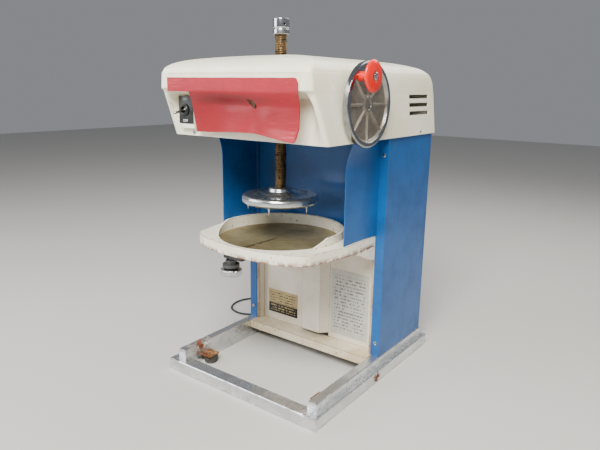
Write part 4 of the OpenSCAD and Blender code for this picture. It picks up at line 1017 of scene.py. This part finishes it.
def makeScrew():
    low, high = nodeBox("screw_shaft")
    radius = (high.x - low.x) / 2
    keyAngle = math.radians(screw["keyTurn"])
    halfKey = math.asin(screw["keyWide"] / 2 / radius)
    # angles of the groove's two walls are doubled so that they stand straight
    turns = [keyAngle + halfKey + (2 * math.pi - 2 * halfKey) * k / screw["around"]
             for k in range(screw["around"] + 1)]
    rows = int((high.z - low.z) / screw["pitch"] * screw["perPitch"])
    points = []
    for i in range(rows + 1):
        z = low.z + (high.z - low.z) * i / rows
        for turn in turns:
            r = threadRadius(turn, z, radius)
            points.append((r * math.cos(turn), spindleY + r * math.sin(turn), z))
        for share in (1, 0.33, -0.33, -1):
            turn = keyAngle - halfKey * share
            r = radius - screw["keyDeep"]
            points.append((r * math.cos(turn), spindleY + r * math.sin(turn), z))
    width = len(turns) + 4
    return newPiece("screwThread", points, tubeFaces(rows + 1, width), materials["screw"], "press",
                    "worn_brass", ("screw_shaft",), 40)


def makeCollar():
    low, high = nodeBox("stop_collar")
    r = (high.x - low.x) / 2
    tall = high.z - low.z
    profile = rounded([(10, 0), (r, 0), (r, 8), (r - 1.5, 9), (r - 1.5, 10.5), (r, 11.5), (r, tall),
                       (9.6, tall), (9.4, tall - 3), (0.1, tall - 3)], 1.1, 4)
    piece = newPiece("stopCollar", *turned(profile, (0, spindleY, low.z), "Z", 96), materials["collar"],
                     "press", "chrome", ("stop_collar",), 40)
    # grub screw's hole, on the side that faces the grip
    a = math.radians(-30)
    hole = turned([(2.2, 8), (2.2, 20)], (0, 0, 0), "X", 24)
    turnedHole = [(x * math.cos(a) - y * math.sin(a), spindleY + x * math.sin(a) + y * math.cos(a),
                   z + low.z + 17)
                  for x, y, z in hole[0]]
    cutWith(piece, turnedHole, hole[1])
    return piece


def makeDisc():
    low, high = nodeBox("clamp_disc")
    r = (high.x - low.x) / 2
    profile = rounded([(11, 1), (40, 1), (44, 0), (r - 5, 0), (r, 3.5), (r, 12.5), (r - 3, 16.4),
                       (r - 9, 17), (44, 16.2), (38, 16.6), (35, 19), (27, 20.5), (24, 22), (22.5, 27.5),
                       (20, 30), (11, 30)], 2.2, 5)
    return newPiece("clampDisc", *turned(profile, (0, spindleY, low.z), "Z", 128), materials["disc"], "press",
                    "chrome", ("clamp_disc",), 50)


makeScrew()
makeCollar()
makeDisc()
print("press made")


# ---- blade knob ----
def makeKnob():
    low, high = nodeBox("blade_knob")
    middle = ((low.x + high.x) / 2, (low.y + high.y) / 2, low.z)
    r = (high.x - low.x) / 2
    tall = high.z - low.z

    def knurl(radius, angle, along):
        ridge = 0.5 + 0.5 * math.cos(angle * 30)
        return radius - (0.9 * (1 - ridge ** 2) if radius > r - 2 and 1 < along < tall - 4 else 0)
    profile = rounded([(0.1, 0), (r - 3, 0), (r - 0.2, 2.4), (r, tall - 5), (r - 2.5, tall - 3),
                       (11, tall - 0.5), (4.1, tall)], 1.2, 4)
    extra = []
    for a, b in zip(profile, profile[1:]):
        extra += [a, ((a[0] + b[0]) / 2, (a[1] + b[1]) / 2)]
    return newPiece("bladeKnob", *turned(extra + [profile[-1]], middle, "Z", 240, knurl),
                    materials["chrome"], "knob", "chrome", ("blade_knob",), 30)


makeKnob()


# ---- base frame in foil tape ----
def crumple(place, strong):
    # creases: broad dents near the corners, fine ridges elsewhere
    p = Vector(place)
    broad = noise.noise(p / 17) * 1.6
    ridge = abs(noise.noise(p / 8 + Vector((5, 1, 9)))) - 0.25
    fine = noise.noise(p / 3.4 + Vector((2, 7, 4)))
    return foil["crumple"] * (broad * (0.2 + 1.6 * strong) + ridge * (0.35 + 1.6 * strong)
                              + fine * (0.1 + 0.5 * strong))


def tapedBar(low, high, along):
    # one bar with rounded corners; the cross-section runs round it and the rows run along it
    lows, highs = Vector(low), Vector(high)
    u = {"X": 1, "Y": 0}[along]
    longAxis = 1 - u
    start, end = lows[longAxis], highs[longAxis]
    rows = max(2, round((end - start) / foil["stepMm"]))
    outline = []
    corners = [(lows[u], lows.z), (highs[u], lows.z), (highs[u], highs.z), (lows[u], highs.z)]
    for (a, b), (c, d) in zip(corners, corners[1:] + corners[:1]):
        steps = max(2, round(math.hypot(c - a, d - b) / 2.6))
        inset = 1.3 / math.hypot(c - a, d - b)
        for k in range(steps + 1):
            t = inset + (1 - 2 * inset) * k / steps
            outline.append((a + (c - a) * t, b + (d - b) * t))
    midU, midZ = (lows[u] + highs[u]) / 2, (lows.z + highs.z) / 2
    points = []
    for i in range(rows + 1):
        s = start + (end - start) * i / rows
        nearEnd = max(0, 1 - min(s - start, end - s) / 26)
        for a, z in outline:
            place = [0, 0, z]
            place[longAxis], place[u] = s, a
            bump = crumple(place, nearEnd)
            away = Vector((a - midU, z - midZ))
            if abs(away.x) * (highs.z - lows.z) > abs(away.y) * (highs[u] - lows[u]):
                place[u] += math.copysign(bump, away.x)
            else:
                place[2] += math.copysign(bump, away.y)
            place[2] = max(0.15, place[2])
            points.append(tuple(place))
    faces = tubeFaces(rows + 1, len(outline))
    if along == "Y":
        return points, faces
    return points, [tuple(reversed(f)) for f in faces]


def makeFrame():
    bar = foil["bar"]
    inner = baseHigh.x - bar
    bars = [tapedBar((-baseHigh.x, 0, 0), (-inner, baseHigh.y, baseHigh.z), "Y"),
            tapedBar((inner, 0, 0), (baseHigh.x, baseHigh.y, baseHigh.z), "Y"),
            tapedBar((-inner - 4, 0.4, 0), (inner + 4, bar, baseHigh.z - 0.3), "X"),
            tapedBar((-inner - 4, baseHigh.y - bar, 0), (inner + 4, baseHigh.y - 0.4, baseHigh.z - 0.3), "X")]
    for node in ("left_rail", "right_rail"):
        low, high = nodeBox(node)
        bars.append(tapedBar((low.x, low.y, low.z - 2), (high.x, high.y, high.z), "Y"))
    return newPiece("tapedFrame", *joined(*bars), materials["tape"], "machine", "foil_tape",
                    ("base_ring", "left_rail", "right_rail"), 28)


makeFrame()
print("frame wrapped")


# ---- screws, switch and labels ----
def screwHeads(name, places, material, radius, node=()):
    shapes = []
    for (x, y, z), axis, sign in places:
        head = turned([(radius, -1), (radius, 0.5), (radius * 0.86, 1.5), (radius * 0.5, 2.1), (0.1, 2.3)],
                      (0, 0, 0), axis, 28)
        points = [(x + px * (sign if axis == "X" else 1), y + py * (sign if axis == "Y" else 1), z + pz)
                  for px, py, pz in head[0]]
        shapes.append((points, [tuple(reversed(f)) for f in head[1]] if sign < 0 else head[1]))
    piece = newPiece(name, *joined(*shapes), material, "machine", "chrome", node)
    cuts = []
    for (x, y, z), axis, sign in places:
        for wide, tall in ((radius * 0.62, 0.5), (0.5, radius * 0.62)):
            if axis == "Y":
                lows, highs = (x - wide, y + sign * 1.1, z - tall), (x + wide, y + sign * 4, z + tall)
            else:
                lows, highs = (x + sign * 1.1, y - wide, z - tall), (x + sign * 4, y + wide, z + tall)
            cuts.append(block([min(a, b) for a, b in zip(lows, highs)],
                              [max(a, b) for a, b in zip(lows, highs)]))
    for half in (cuts[0::2], cuts[1::2]):
        cutWith(piece, *joined(*half))
    return piece


fixings = {"frontHeights": (70, 452), "backHeights": (80, 260, 440), "hoodSide": (363, 491),
           "hoodFront": (-123, 490), "coverHead": 4, "hoodHead": 3.6, "skirtLevel": 492}


def makeScrews():
    x = nodeBox("cover_screws")[1].x - fixings["coverHead"]
    front = nodeBox("right_cover")[0].y
    back = nodeBox("back_cover")[1].y
    places = [((side * x, front, z), "Y", -1) for side in (-1, 1) for z in fixings["frontHeights"]]
    places += [((side * x, back, z), "Y", 1) for side in (-1, 1) for z in fixings["backHeights"]]
    screwHeads("coverScrews", places, materials["steel"], fixings["coverHead"], ("cover_screws",))
    half = lookUp(hood["half"], fixings["skirtLevel"])
    front = lookUp(hood["recess"], fixings["skirtLevel"]) + 0.3
    y, z = fixings["hoodSide"]
    frontX, frontZ = fixings["hoodFront"]
    places = [((side * (half - 0.6), y, z), "X", side) for side in (1, -1)]
    places += [((frontX, front, frontZ), "Y", -1)]
    screwHeads("hoodScrews", places, materials["steel"], fixings["hoodHead"])


makeScrews()


switch = {"x": -134, "z": 531, "plate": (-17, 21, 25), "letter": 7.6}


def makeSwitch():
    face = nodeBox("switch_plate")[0].y
    middle = (switch["x"], face, switch["z"])
    left, right, tall = switch["plate"]
    plate = newPiece("switchPlate", *block((switch["x"] + left, face, switch["z"] - tall),
                                           (switch["x"] + right, face + 1.4, switch["z"] + tall)),
                     materials["blackPlate"], "machine", "black_plastic", ("switch_plate",), flat=True)
    bevel = plate.modifiers.new("corner", "BEVEL")
    bevel.width = 0.0006
    bevel.segments = 3
    settle(plate)

    def knurl(radius, angle, along):
        return radius - (0.5 * (0.5 - 0.5 * math.cos(angle * 24)) if radius > 10 else 0)
    profile = [(4.8, 2), (6, -5.2), (7.2, -5.6), (9, -3.2), (9.4, -2.9), (10.8, -2.6), (10.9, -0.4),
               (10.6, 0), (6, 0)]
    boss = newPiece("switchBoss", *turned(profile, middle, "Y", 96, knurl), materials["blackPlastic"],
                    "machine", "black_plastic", ("switch_boss",), 30)
    # the bat lever, thin at its root and round at its tip
    leverLow = nodeBox("switch_lever")[0]
    root = Vector((switch["x"], face - 0.8, switch["z"]))
    tip = Vector((switch["x"], leverLow.y + 2.6, leverLow.z + 2.6))
    along = (tip - root).normalized()
    length = (tip - root).length
    side = Vector((1, 0, 0))
    up = along.cross(side)
    profile = [(3.9, -1.6), (4.1, 0), (3.4, 1.6), (1.8, 3.2), (1.9, 8), (2.3, 14), (2.6, length - 1),
               (2.5, length + 0.6), (1.8, length + 2), (0.9, length + 2.5), (0.05, length + 2.6)]
    around = 32
    points = []
    for r, d in profile:
        for k in range(around):
            a = 2 * math.pi * k / around
            points.append(tuple(root + along * d + side * r * math.cos(a) + up * r * math.sin(a)))
    faces = gridFaces(len(profile), around, True) + [tuple(range(around - 1, -1, -1))]
    lever = newPiece("switchLever", points, faces, materials["steel"], "lever", "chrome", ("switch_lever",),
                     50)
    for word, z in (("ON", switch["z"] + tall - 8.5), ("OFF", switch["z"] - tall + 2.6)):
        letters = bpy.data.curves.new("letters" + word, "FONT")
        letters.body = word
        letters.align_x = "CENTER"
        letters.size = switch["letter"] / 1000
        letters.extrude = 0.00008
        sign = placed("letters" + word, letters)
        sign.matrix_world = Matrix.Translation(at(switch["x"], face - 0.1,
                                                  z)) @ Matrix.Rotation(math.pi / 2, 4, "X")
        letters.materials.append(materials["whitePrint"])
        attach(sign, "machine")


makeSwitch()
print("switch made")


# ---- the design's own pieces keep their shape and take a finish ----
finishes = {
    "creamFrame": ["cross_rail"],
    "post": ["left_post", "right_post"],
    "creamPanel": ["lower_front_panel"],
    "rust": ["foot_brackets"],
    "rubber": ["rubber_feet"],
    "blue": ["left_cover", "right_cover", "back_cover", "chamber_back_panel"],
    "table": ["table"],
    "plate": ["blade_plate"],
    "steel": ["blade", "knob_stud", "handwheel_shaft", "countershaft", "motor_shaft", "run_capacitor",
              "ice_spikes"],
    "castIron": ["blade_seat", "knob_locknut", "head_plate", "head_bridge", "bridge_pillars", "drive_gear",
                 "bevel_pinion", "handwheel_bearing", "counter_pinion", "big_pulley", "motor_pulley"],
    "bronze": ["spindle_bush", "feed_nut"],
    "motor": ["motor_body"],
    "belt": ["drive_belt"],
    "hood": ["switch_bracket"],
}
materials["nameplate"] = printedLabel("printed brass-coloured plate", nodeBox("nameplate"),
                                      ("#BCA877", "#A38F62"), "#3A3428", 6.2, 0.42, (0.06, 0.94), 0.44)
materials["label"] = printedLabel("printed paper label under film", nodeBox("instruction_label"),
                                  ("#C4C2BC", "#B6B3AB"), "#55555A", 7.4, None, (0.08, 0.92), 0.47)
finishes["nameplate"] = ["nameplate"]
finishes["label"] = ["instruction_label"]


def dressNodes():
    for finishName, names in finishes.items():
        for name in names:
            mesh = nodes[name].data
            mesh.materials.clear()
            mesh.materials.append(materials[finishName])


dressNodes()
print("design's own pieces dressed")


# ---- floor and light ----
studio = {
    "floor": "#C2C0BC",
    "world": "#C9CCD2",
    "worldStrength": 0.42,
    "lamps": [
        {"place": (700, -1300, 1900), "size": 1.1, "power": 125, "tint": "#FFFCF4"},
        {"place": (-1400, -1200, 1100), "size": 1.4, "power": 30, "tint": "#F4F7FF"},
        {"place": (300, 1400, 1700), "size": 1.5, "power": 22, "tint": "#FFFDF8"},
    ],
}


def makeFloor():
    mesh = bpy.data.meshes.new("floor")
    reach = 6000
    mesh.from_pydata([at(-reach, -reach, 0), at(reach, -reach, 0), at(reach, reach, 0),
                      at(-reach, reach, 0)], [],
                     [(0, 1, 2, 3)])
    floor = placed("floor", mesh)
    material, tree, shader, where = newMaterial("pale paper floor")
    finish(tree, shader, Base_Color=colour(studio["floor"]), Roughness=0.75)
    mesh.materials.append(material)


def makeLights():
    world = bpy.data.worlds.new("studio")
    world.use_nodes = True
    world.node_tree.nodes["Background"].inputs["Color"].default_value = colour(studio["world"])
    world.node_tree.nodes["Background"].inputs["Strength"].default_value = studio["worldStrength"]
    bpy.context.scene.world = world
    aim = at(0, 200, 300)
    for number, lamp in enumerate(studio["lamps"]):
        light = bpy.data.lights.new("softbox" + str(number), "AREA")
        light.size = lamp["size"]
        light.energy = lamp["power"]
        light.color = colour(lamp["tint"])[:3]
        holder = placed("softbox" + str(number), light)
        place = at(*lamp["place"])
        facing = (aim - place).to_track_quat("-Z", "Y").to_matrix().to_4x4()
        holder.matrix_world = Matrix.Translation(place) @ facing


makeFloor()
makeLights()
print("stage set")
